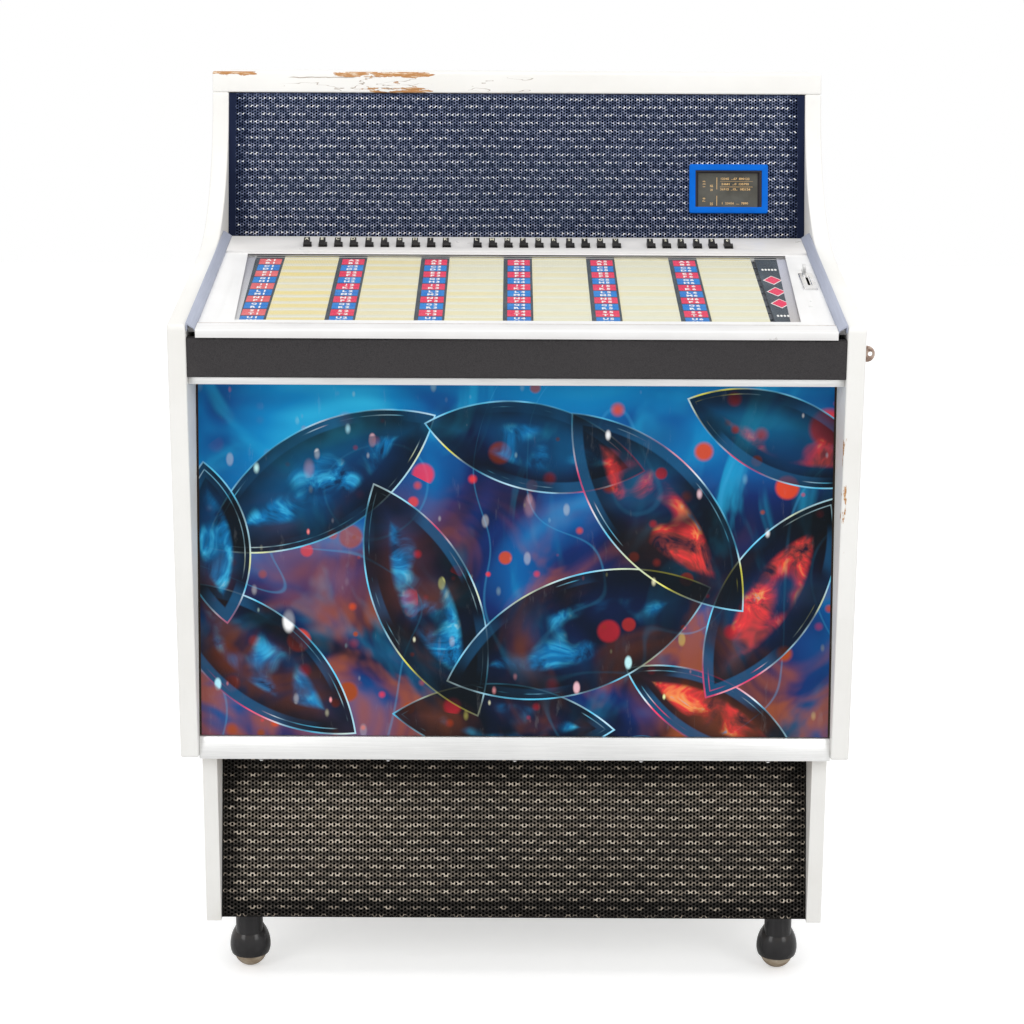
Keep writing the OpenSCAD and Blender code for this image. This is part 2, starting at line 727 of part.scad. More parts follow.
// Aluminium trims: a flange that rises to the side panel, with a foot at either edge.
module side_trims() {
  w = 1.6;
  color("lightsteelblue") on_lid() both_sides()
    translate([0, lid_len, 0]) rotate([90, 0, 0]) linear_extrude(lid_len - 2)
      polygon([
        [bar_half + seat, -bar_up], [bar_half + seat, 1], [lid_half - w, trim_up],
        [lid_half, trim_up], [lid_half, -bar_up], [lid_half - w, -bar_up],
        [lid_half - w, trim_up - 2 * w], [bar_half + seat + w, 1 - w],
        [bar_half + seat + w, -bar_up]]);
}

module title_glass() {
  color("lightcyan", 0.4) on_lid()
    translate([-window_half - rebate + seat, window_s0 - rebate + seat, -bar_up - glass_t])
      cube([2 * (window_half + rebate - seat), window_s1 - window_s0 + 2 * (rebate - seat),
            glass_t - seat]);
}

// Plate under the window: a label bar for every column, and ribs between the rows.
module title_rack() {
  strip_w = col_pitch - label_w - 7;
  bar_h = lid_t - bar_up - glass_t - 1;
  color("gainsboro") on_lid() translate([0, 0, -lid_t]) {
    translate([-window_half - rebate, window_s0 - rebate, -rack_t])
      cube([2 * (window_half + rebate), window_s1 - window_s0 + 2 * rebate, rack_t]);
    for (c = [0:rack_cols - 1]) translate([rack_x0 + c * col_pitch, rack_s0, -1]) {
      cube([label_w, rack_l, bar_h + 1]);
      for (r = [0:rack_rows]) translate([label_w + 1, r * row_pitch - rib_t / 2, 0])
        cube([strip_w, rib_t, rib_up + 1]);
    }
    // bar for the machine's rules, right of the last column
    translate([rack_x0 + rack_cols * col_pitch, rack_s0, -1]) cube([rules_w, rack_l, bar_h + 1]);
  }
}

module coin_plate() {
  color("silver") on_lid() translate([coin_x, coin_s + coin_len / 2, -bar_up]) difference() {
    union() {
      linear_extrude(coin_t - 0.8) rounded_square(coin_w, coin_len, 3);
      linear_extrude(coin_t) rounded_square(coin_w - 2, coin_len - 2, 2.5);
    }
    translate([0, 0, -1]) linear_extrude(coin_t + 2) square([slot_w, slot_len], center = true);
    translate([0, 0, coin_t - 1]) linear_extrude(2)
      rounded_square(slot_w + 4, slot_len + 10, 2);
  }
}

// The lever turns on a pin across its slot in the right side field.
module reject_lever() {
  color("silver") on_lid() translate([coin_x, lever_s, lever_h]) {
    rotate([0, 90, 0]) cylinder(r = 3.2, h = lever_t, center = true);
    rotate([0, 90, 0]) cylinder(r = 1.5, h = lever_t + 9, center = true);
    across(-lever_t / 2, lever_t / 2)
      polygon([[-3.2, 0], [3.2, 0], [5, 4 + lever_up - 2], [4, 4 + lever_up],
               [-4, 4 + lever_up], [-5, 4 + lever_up - 2]]);
  }
}

// A selector key: sloping cap with its step, and a collar under the rail's wall.
module key(i) {
  left = -(key_w + step_w) / 2;
  base = -lid_t + key_travel + play;
  front_up = 3.4;
  color([0.12, 0.11, 0.11]) on_lid() translate([key_x(i), key_s, 0]) {
    across(left, left + key_w) polygon([
      [0, base], [0, front_up], [1.2, front_up + 0.8], [key_len - 2, key_up],
      [key_len, key_up - 1.2], [key_len, base]]);
    across(left + key_w - 0.5, left + key_w + step_w) polygon([
      [0, base], [0, front_up], [1.2, front_up + 0.8], [step_len - 1, front_up + 1.6],
      [step_len, front_up + 0.8], [step_len, base]]);
    translate([left - 1.5, -1.8, base]) cube([key_w + step_w + 3, key_len + 3.6,
      -key_wall - seat - base]);
  }
}

// ---- mechanism ------------------------------------------------------------

// Tray on four rubbers, magazine post, upright plate for the turntable and the arms.
module mech_chassis() {
  tray = inner - 4;
  tray_y = [ring_y - ring_out + 4, ring_y + ring_out - 4];
  plate_x = [arm_x - plate_edge, tone_x + plate_edge];
  gusset_l = ring_y + ring_out - 4 - plate_y;
  color("darkgray") {
    difference() {
      union() {
        translate([-tray, tray_y[0], deck_z]) cube([2 * tray, tray_y[1] - tray_y[0], mech_t]);
        for (y = [tray_y[0], tray_y[1] - mech_t])
          translate([-inner + batten + 2, y, deck_z - 18])
            cube([2 * (inner - batten - 2), mech_t, 19]);
        translate([plate_x[0], plate_y, deck_z])
          cube([plate_x[1] - plate_x[0], mech_t, tone_z + plate_edge - deck_z]);
        for (x = [plate_x[0], plate_x[1] - mech_t]) across(x, x + mech_t)
          polygon([[plate_y, deck_z], [plate_y + gusset_l * 0.4, deck_z],
                   [plate_y + gusset_l * 0.4, deck_top + 8], [plate_y + 14, tone_z],
                   [plate_y, tone_z]]);
        translate([-ring_x, ring_y, deck_z]) {
          cylinder(r = post_r, h = record_z + 48 - deck_z);
          cylinder(r = 2 * post_r, h = magazine_z - seat - deck_z);
        }
      }
      for (p = [[table_x, record_z], [arm_x, record_z], [tone_x, tone_z]])
        translate([p[0], 0, p[1]]) rod(shaft_r + run, plate_y - 1, plate_y + mech_t + 1);
    }
    for (x = [-1, 1], y = [-0.5, 0.5])
      translate([x * (inner - batten / 2 - 2), ring_y + y * rubber_span, batten_z])
        cylinder(r = 8, h = rubber_h);
  }
}

// Hub, plate and the fins that stand between the records.
module record_carousel() {
  color("goldenrod") translate([-ring_x, ring_y, 0]) difference() {
    union() {
      translate([0, 0, magazine_z]) cylinder(r = 3 * post_r, h = record_z + 30 - magazine_z);
      translate([0, 0, disc_z]) cylinder(r = ring_out, h = 3);
      for (i = [0:record_n - 1]) rotate([0, 0, (i + 0.5) * 360 / record_n])
        translate([0, fin_t / 2, disc_z + 2]) rotate([90, 0, 0]) linear_extrude(fin_t)
          polygon([[2.8 * post_r, 0], [ring_out - post_r, 0], [ring_out - post_r, fin_low],
                   [ring_in + fin_high / 2, 1.7 * fin_low], [ring_in + post_r, fin_high * 0.53],
                   [ring_in - post_r / 2, fin_high], [2.8 * post_r, fin_high]]);
    }
    translate([0, 0, magazine_z - 1]) cylinder(r = post_r + run, h = record_z + 32 - magazine_z);
  }
}

module records() {
  color([0.08, 0.08, 0.09]) translate([-ring_x, ring_y, record_z])
    for (i = [0:record_n - 1]) rotate([0, 0, i * 360 / record_n])
      translate([ring_in + record_r, 0, 0]) difference() {
        rod(record_r, -record_t / 2, record_t / 2);
        rod(19, -record_t, record_t);
      }
}

// Upright platter with the large middle, its shaft and its pulley.
module turntable() {
  color("dimgray") translate([table_x, 0, record_z]) {
    face = plate_y - platter_gap - platter_t;
    rod(platter_r, face, face + platter_t);
    rod(spindle_r, face - spindle_len, face);
    rod(2.4 * shaft_r, face + platter_t, plate_y - seat);
    rod(shaft_r, face + platter_t, plate_y + 4 * shaft_r);
    rod(pulley_r, plate_y + mech_t + seat, plate_y + 2 * shaft_r);
  }
}

// Arm that carries a record between the magazine and the platter, shown upright.
module gripper_arm() {
  y0 = plate_y - gripper_front;
  t = gripper_t;
  hole = spindle_r + 5;
  color("silver") translate([arm_x, 0, record_z]) {
    rod(shaft_r, y0, plate_y + 2.8 * shaft_r);
    rod(2.8 * shaft_r, y0, plate_y - seat);
    rod(2 * shaft_r, plate_y + mech_t + seat, plate_y + 2.4 * shaft_r);
    translate([0, y0 + t, 0]) rotate([90, 0, 0]) linear_extrude(t) difference() {
      union() {
        polygon([[-11, 0], [11, 0], [7, swing / 2 - hole], [-7, swing / 2 - hole]]);
        translate([0, swing / 2]) circle(hole + 8);
      }
      translate([0, swing / 2]) circle(hole);
      translate([-6, swing / 2]) square([12, hole + 12]);
    }
  }
}

// Tone arm hanging beside the platter: boss, counterweight, tube and head.
module tone_arm() {
  y0 = plate_y - tone_front;
  color("gainsboro") translate([tone_x, 0, tone_z]) rotate([0, tone_rest, 0]) {
    rod(shaft_r, y0, plate_y + 2.8 * shaft_r);
    rod(2.2 * shaft_r, y0, plate_y - seat);
    rod(1.8 * shaft_r, plate_y + mech_t + seat, plate_y + 2.4 * shaft_r);
    tube_y = y0 + head_t * 0.22;
    translate([0, tube_y, -tone_len]) cylinder(r = head_t / 6, h = tone_len + tone_tail);
    translate([0, tube_y, tone_tail * 0.64]) cylinder(r = head_t / 2, h = tone_tail * 0.73);
    translate([-head_t / 3, y0, -tone_len - head_len * 0.42])
      cube([head_t * 2 / 3, head_t, head_len]);
  }
}

// ---- casters --------------------------------------------------------------

// Puts a caster's own frame, with its swivel axis at the origin, under the plinth.
module at_caster(k) {
  translate([k % 2 == 1 ? -caster_x : caster_x, caster_ys[k <= 2 ? 0 : 1], 0]) children();
}

// Domed hood over the wheel with its neck and stem, and the axle across it.
module caster_hood(k) {
  gap = 1;                           // between the ball and the hood's inside
  color([0.2, 0.2, 0.22]) at_caster(k) {
    difference() {
      union() {
        translate([0, trail, 0]) rotate_extrude() intersection() {
          union() {
            translate([0, hood_z]) circle(hood_r);
            translate([hood_r - dome_r, hood_z]) intersection() {
              circle(dome_r);
              square(2 * dome_r);
            }
          }
          translate([0, hood_cut]) square([hood_r + 1, hood_z - hood_cut + dome_rise]);
        }
        translate([0, 0, hood_z + dome_rise - 6])
          cylinder(r = neck_r, h = plinth_z - seat - hood_z - dome_rise + 6);
        translate([0, 0, plinth_z - 4]) cylinder(r = stem_r, h = stem_h + 4);
      }
      translate([0, trail, ball_r]) rotate_extrude() intersection() {
        circle(ball_r + gap);
        translate([0, hood_cut - ball_r - 1]) square(2 * ball_r);
      }
    }
    translate([0, trail, ball_r]) rotate([0, 90, 0])
      cylinder(r = axle_r, h = 2 * ball_r + 5, center = true);
  }
}

module caster_ball(k) {
  color("tan") at_caster(k) translate([0, trail, ball_r]) rotate([0, 90, 0])
    rotate_extrude() intersection() {
      circle(ball_r);
      translate([axle_r + run, -ball_r]) square([ball_r, 2 * ball_r]);
    }
}

// ---- the whole, with the origin in the middle of the floor -----------------

module stand() { translate([0, -depth / 2, 0]) children(); }

stand() side_panels();
stand() top_board();
stand() cabinet_frame();
stand() rear_panel();
stand() plinth_box();
stand() head_grille();
stand() plinth_grille();
stand() picture_panel();
stand() apron_band();
stand() front_rails();
stand() display_window();
stand() lock_ear();
stand() hinge_rail();
stand() loudspeakers();
stand() lid_frame();
stand() side_trims();
stand() title_glass();
stand() title_rack();
stand() coin_plate();
stand() reject_lever();
stand() mech_chassis();
stand() record_carousel();
stand() records();
stand() turntable();
stand() tone_arm();
stand() gripper_arm();
for (i = [0:len(KEY_NAMES) - 1])
  stand() key(i);
for (k = [1:4]) {
  stand() caster_hood(k);
  stand() caster_ball(k);
}
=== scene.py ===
# %% [markdown]
# # A coin-operated record player in a floor-standing cabinet
# The cabinet is two white painted boards with everything else hung between them: a lid
# full of title strips, a raised head behind it, a printed picture in front and a narrower
# plinth on ball casters. The solids come ready made and ready to move. This lesson
# dresses them: it gives each one its finish, and it adds the small things that solids
# leave out, such as perforations, printed codes, paper strips and screws.

# %%  Load the frame
import math

import bmesh
import bpy
from mathutils import Matrix, Vector


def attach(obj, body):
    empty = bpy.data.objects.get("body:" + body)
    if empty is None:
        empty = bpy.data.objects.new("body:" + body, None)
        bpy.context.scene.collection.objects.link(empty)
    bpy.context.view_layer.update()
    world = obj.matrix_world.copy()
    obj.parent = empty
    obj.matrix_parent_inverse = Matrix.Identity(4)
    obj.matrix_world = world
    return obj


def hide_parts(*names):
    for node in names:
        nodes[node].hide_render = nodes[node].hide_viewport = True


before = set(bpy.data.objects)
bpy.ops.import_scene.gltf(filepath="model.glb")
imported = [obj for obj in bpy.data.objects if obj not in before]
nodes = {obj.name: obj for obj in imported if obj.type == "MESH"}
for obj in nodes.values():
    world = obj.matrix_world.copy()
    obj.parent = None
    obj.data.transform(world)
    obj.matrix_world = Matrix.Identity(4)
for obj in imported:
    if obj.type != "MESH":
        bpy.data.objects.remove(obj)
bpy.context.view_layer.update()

# %% [markdown]
# ## Camera
# A product picture is taken with a long lens from a little above the lid, so that the
# title strips can be read. A long lens keeps the sides of the cabinet nearly parallel.
# The camera's turn is written as its sideways, upward and backward directions, because
# that says plainly where it looks.

# %%  Set up the camera
def aimed(turn, dip, roll):
    """Rotation of a camera that looks along +Y, turned right, dipped down and rolled, in radians."""
    ahead = Vector((math.sin(turn) * math.cos(dip), math.cos(turn) * math.cos(dip), -math.sin(dip)))
    right = Vector((math.cos(turn), -math.sin(turn), 0.0))
    up = right.cross(ahead)
    side = math.cos(roll) * right + math.sin(roll) * up
    top = math.cos(roll) * up - math.sin(roll) * right
    return Matrix((side, top, -ahead)).transposed()


camera = bpy.data.objects.new("camera", bpy.data.cameras.new("camera"))
bpy.context.scene.collection.objects.link(camera)
camera.data.lens = 77.07
camera.data.sensor_width = 36.0
camera.data.clip_end = 60.0
camera.matrix_world = Matrix.Translation((-0.0086, -3.12302, 1.30632)) @ \
    aimed(0.00123, 0.21942, 0.00459).to_4x4()
bpy.context.scene.camera = camera
print("camera:", tuple(round(v, 3) for v in camera.location))

# %% [markdown]
# ## Nodes, one line at a time
# Materials and Geometry Nodes are both trees of nodes. One helper adds a node and fills
# its inputs: where the value is another node's output it is linked, otherwise it is
# simply set. Everything later is built from it.

# %%  Helper for node trees
def knot(tree, kind, inputs=None, **settings):
    """Adds one node to a tree. A socket given as an input is linked; a value is set."""
    made = tree.nodes.new(kind)
    for key, value in settings.items():
        setattr(made, key, value)
    for key, value in (inputs or {}).items():
        if isinstance(value, bpy.types.NodeSocket):
            tree.links.new(value, made.inputs[key])
        else:
            made.inputs[key].default_value = value
    return made


def place_on(tree, loc=(0, 0, 0), turn=(0, 0, 0), size=(1, 1, 1)):
    """The surface's own coordinates, seen from a local frame that stands at loc, turned."""
    seat = knot(tree, "ShaderNodeTexCoord").outputs["Object"]
    return knot(tree, "ShaderNodeMapping", {"Vector": seat, "Location": loc, "Rotation": turn,
                                            "Scale": size}, vector_type="TEXTURE").outputs[0]


def noise(tree, where, scale, detail=4.0, rough=0.55, stretch=None, warp=0.0):
    """Soft random values about 0.5. stretch squeezes the pattern along its axes, warp folds it."""
    if stretch:
        where = knot(tree, "ShaderNodeMapping", {"Vector": where, "Scale": stretch}).outputs[0]
    return knot(tree, "ShaderNodeTexNoise", {"Vector": where, "Scale": scale, "Detail": detail,
                                             "Roughness": rough, "Distortion": warp}).outputs[0]


def ramp(tree, fac, *stops):
    """A colour ramp. Each stop is a place from 0 to 1 and a colour or a grey."""
    made = knot(tree, "ShaderNodeValToRGB", {0: fac})
    band = made.color_ramp
    while len(band.elements) < len(stops):
        band.elements.new(0.5)
    for element, (place, colour) in zip(band.elements, stops):
        element.position = place
        if not hasattr(colour, "__len__"):
            colour = (colour,) * 3
        element.color = (*colour, 1.0) if len(colour) == 3 else colour
    return made.outputs[0]


def blend_in(tree, fac, under, over, kind="MIX"):
    """Colour over laid on colour under, by fac."""
    made = knot(tree, "ShaderNodeMix", data_type="RGBA", blend_type=kind)
    for index, value in ((0, fac), (6, under), (7, over)):
        if isinstance(value, bpy.types.NodeSocket):
            tree.links.new(value, made.inputs[index])
        elif index == 0:
            made.inputs[index].default_value = value
        else:
            made.inputs[index].default_value = (*(value if isinstance(value, tuple) else [value] * 3), 1.0)
    return made.outputs[2]


def sums(tree, how, a, b=0.0, c=0.0):
    """One step of arithmetic on sockets or numbers."""
    return knot(tree, "ShaderNodeMath", {0: a, 1: b, 2: c}, operation=how).outputs[0]


def rise(tree, value, low, high):
    """0 below low, 1 above high, and a soft step between. Swap them for a falling step."""
    return knot(tree, "ShaderNodeMapRange", {"Value": value, "From Min": low, "From Max": high},
                interpolation_type="SMOOTHSTEP").outputs[0]


def within(tree, value, low, high, soft):
    """1 between low and high, fading to 0 over a soft margin outside them."""
    return sums(tree, "MULTIPLY", rise(tree, value, low - soft, low),
                rise(tree, value, high + soft, high))


def axes(tree, where):
    """The three parts of a vector, as sockets."""
    return knot(tree, "ShaderNodeSeparateXYZ", {0: where}).outputs


def length_of(tree, vector):
    """The length of a vector."""
    return knot(tree, "ShaderNodeVectorMath", {0: vector}, operation="LENGTH").outputs["Value"]


def bump(tree, height, deep, strong=1.0):
    """A normal that makes a height look deep metres deep."""
    return knot(tree, "ShaderNodeBump", {"Height": height, "Distance": deep,
                                         "Strength": strong}).outputs[0]


def new_finish(name, **sockets):
    """A material with one Principled shader. Sockets are given as in its panel, _ for spaces."""
    material = bpy.data.materials.new(name)
    material.use_nodes = True
    tree = material.node_tree
    shader = tree.nodes["Principled BSDF"]
    for key, value in sockets.items():
        shader.inputs[key.replace("_", " ")].default_value = value
    return material, tree, shader


def lead(tree, shader, **sockets):
    """Links outputs to the shader's inputs."""
    for key, value in sockets.items():
        tree.links.new(value, shader.inputs[key.replace("_", " ")])


# %% [markdown]
# ## Stage and light
# The object stands on white paper. The paper is a large plane whose colour for the camera
# is nearly white, with the object's soft shadow and a trace of its mirror image left in.
# The world is white to the camera, to glossy rays and to rays through glass, and dimmer
# to everything else, so that large soft lamps can model the shapes.

# %%  Build the paper, the world and the lamps
PAPER_BACK = 9.0      # how far the paper runs back and to the sides, in metres


def paper_finish():
    """Matt paper that glows a little for the camera alone, so that it reads as white."""
    material, tree, shader = new_finish("paper", Base_Color=(0.86, 0.86, 0.86, 1.0),
                                        Roughness=0.16, Specular_IOR_Level=0.12)
    seen = knot(tree, "ShaderNodeLightPath").outputs["Is Camera Ray"]
    glow = knot(tree, "ShaderNodeEmission", {"Color": (1, 1, 1, 1), "Strength": 0.42})
    both = knot(tree, "ShaderNodeAddShader", {0: shader.outputs[0], 1: glow.outputs[0]})
    pick = knot(tree, "ShaderNodeMixShader", {0: seen, 1: shader.outputs[0], 2: both.outputs[0]})
    tree.links.new(pick.outputs[0], tree.nodes["Material Output"].inputs[0])
    return material


paper_mesh = bpy.data.meshes.new("paper")
paper_mesh.from_pydata([(x, y, 0.0) for x, y in ((-PAPER_BACK, -PAPER_BACK), (PAPER_BACK, -PAPER_BACK),
                                                 (PAPER_BACK, PAPER_BACK), (-PAPER_BACK, PAPER_BACK))],
                       [], [(0, 1, 2, 3)])
paper = bpy.data.objects.new("paper", paper_mesh)
bpy.context.scene.collection.objects.link(paper)
paper.data.materials.append(paper_finish())

world = bpy.data.worlds.new("studio")
bpy.context.scene.world = world
world.use_nodes = True
sky = world.node_tree
rays = knot(sky, "ShaderNodeLightPath").outputs
plain = sums(sky, "MAXIMUM", rays["Is Camera Ray"],
             sums(sky, "MAXIMUM", rays["Is Glossy Ray"], rays["Is Transmission Ray"]))
strength = sums(sky, "MULTIPLY_ADD", plain, 0.32, 0.68)
sky.links.new(strength, sky.nodes["Background"].inputs["Strength"])
sky.nodes["Background"].inputs["Color"].default_value = (1, 1, 1, 1)


def softbox(name, at, towards, wide, high, power):
    """A large rectangular lamp at a point, facing another."""
    lamp = bpy.data.objects.new(name, bpy.data.lights.new(name, "AREA"))
    bpy.context.scene.collection.objects.link(lamp)
    lamp.data.shape = "RECTANGLE"
    lamp.data.size, lamp.data.size_y = wide, high
    lamp.data.energy = power
    lamp.location = at
    lamp.rotation_mode = "QUATERNION"
    lamp.rotation_quaternion = (Vector(towards) - Vector(at)).to_track_quat("-Z", "Y")
    return lamp


softbox("lamp_left", (-3.0, -3.4, 2.2), (0, 0, 0.8), 1.8, 2.4, 42)
softbox("lamp_right", (3.0, -3.4, 2.2), (0, 0, 0.8), 1.8, 2.4, 42)
softbox("lamp_top", (0.0, -0.6, 4.2), (0, 0.1, 0.8), 2.6, 2.2, 46)
scene_view = bpy.context.scene.view_settings
scene_view.view_transform = "Standard"

# %% [markdown]
# ## Places
# The lid slopes, the picture leans back, and so do both grilles. Each of these has a
# frame of its own, a matrix that puts something drawn flat onto the slope. The angles
# and the start points are the cabinet's own, read from its solids where they can be.

# %%  Frames of the sloping parts, in millimetres
MM = 0.001
HALF_DEPTH = 325.0


def sloped(y, z, degrees):
    """A frame that stands y mm behind the cabinet's front and z mm up, tilted back about X."""
    return Matrix.Translation((0, (y - HALF_DEPTH) * MM, z * MM)) @ \
        Matrix.Rotation(math.radians(degrees), 4, "X") @ Matrix.Scale(MM, 4)


LID_SLOPE = 11.5
PICTURE_LEAN = 6.4
HEAD_LEAN = 12.4
PLINTH_LEAN = 12.5
lid_frame = sloped(0.0, 921.161, LID_SLOPE)                  # X, up the slope, off the lid
head_frame = sloped(452.988, 985.629, 90.0 - HEAD_LEAN)      # X, up the grille, towards the front
plinth_frame = sloped(53.0, 89.0, 90.0 - PLINTH_LEAN)
picture_frame = sloped(28.0, 365.3, -PICTURE_LEAN)           # X, back from the panel, up the panel
INNER = nodes["picture_panel"].dimensions.x / 2 / MM + 0.3   # half the width between the panels


def on_lid(tree):
    """Coordinates of the lid's slope in metres: across, up the slope and off it."""
    return place_on(tree, lid_frame.to_translation(), (math.radians(LID_SLOPE), 0, 0))


print("half width between the side panels:", round(INNER, 1), "mm")

# %% [markdown]
# ## Making and keeping pieces
# Every finished piece is a plain mesh at the origin that rides on one moving body. A solid
# from the frame has knife-sharp edges; real boards and castings don't, so many solids are
# copied, cleaned and given a small bevel, and the copy stands for the solid.

# %%  Helpers for pieces
def box_corners(node):
    """The eight corners of a solid's box. The solids stand at the origin, so these are places."""
    return [Vector(c) for c in nodes[node].bound_box]


def keep(obj, body):
    """Puts a finished mesh on its body."""
    if obj.name not in bpy.context.scene.objects:
        bpy.context.scene.collection.objects.link(obj)
    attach(obj, body)
    return obj


def from_bmesh(name, shape, material, body):
    """Turns a finished bmesh into a piece, with its faces pointing outwards."""
    bmesh.ops.recalc_face_normals(shape, faces=shape.faces)
    mesh = bpy.data.meshes.new(name)
    shape.to_mesh(mesh)
    shape.free()
    mesh.materials.append(material)
    return keep(bpy.data.objects.new(name, mesh), body)


def softened(node, name, material, body, radius=1.5, steps=3, angle=35.0, tidy=True):
    """A copy of a solid with rounded edges, which stands for it. tidy joins its flat triangles first."""
    shape = bmesh.new()
    shape.from_mesh(nodes[node].data)
    bmesh.ops.remove_doubles(shape, verts=shape.verts, dist=1e-5)
    if tidy:
        bmesh.ops.dissolve_limit(shape, angle_limit=math.radians(0.6), verts=shape.verts,
                                 edges=shape.edges)
    sharp = [e for e in shape.edges if len(e.link_faces) == 2
             and e.calc_face_angle(0.0) > math.radians(angle)]
    bmesh.ops.bevel(shape, geom=sharp, offset=radius * MM, segments=steps, profile=0.5,
                    affect="EDGES", clamp_overlap=True)
    bmesh.ops.triangulate(shape, faces=[f for f in shape.faces if len(f.verts) > 4])
    mesh = bpy.data.meshes.new(name)
    shape.to_mesh(mesh)
    shape.free()
    mesh.materials.append(material)
    mesh.shade_smooth()
    mesh.set_sharp_from_angle(angle=math.radians(32))
    made = keep(bpy.data.objects.new(name, mesh), body)
    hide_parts(node)
    return made


def dressed(node, material):
    """A solid that keeps its own shape and gets a better finish."""
    mesh = nodes[node].data
    mesh.materials.clear()
    mesh.materials.append(material)


def box_into(shape, low, high, frame_matrix):
    """Adds a box between two corners, drawn in a sloping frame."""
    corners = [Vector((x, y, z)) for z in (low[2], high[2]) for y in (low[1], high[1])
               for x in (low[0], high[0])]
    verts = [shape.verts.new(frame_matrix @ c) for c in corners]
    for face in ((0, 2, 3, 1), (4, 5, 7, 6), (0, 1, 5, 4), (2, 6, 7, 3), (0, 4, 6, 2), (1, 3, 7, 5)):
        shape.faces.new([verts[i] for i in face])


def boxes(name, spans, frame_matrix, material, body, bevel=0.0):
    """One piece of several boxes, each given by its lowest and highest corner."""
    shape = bmesh.new()
    for low, high in spans:
        box_into(shape, low, high, frame_matrix)
    if bevel:
        bmesh.ops.bevel(shape, geom=shape.edges[:], offset=bevel * MM, segments=2, profile=0.5,
                        affect="EDGES", clamp_overlap=True)
    return from_bmesh(name, shape, material, body)


# %% [markdown]
# ## White paint on board
# The side panels, the head's top board and the plinth are board with a thick coat of
# warm white paint. It has gone slightly uneven, it carries hairline cracks, and along
# a few edges it has flaked off down to the orange-brown wood. The flakes are a fine
# noise that only wins where a mask lets it: along the top board's front edge, at the
# side panels' corners and down the right panel's inner front edge.

# %%  Paint with its flakes and cracks
WOOD = (0.50, 0.24, 0.085)


def flaked(tree, where, mask, scale, stretch):
    """1 where the paint has come off, within a mask from 0 to 1."""
    grain = noise(tree, where, scale, 6.0, 0.62, stretch)
    return rise(tree, sums(tree, "ADD", grain, sums(tree, "MULTIPLY", mask, 0.42)), 0.80, 0.83)


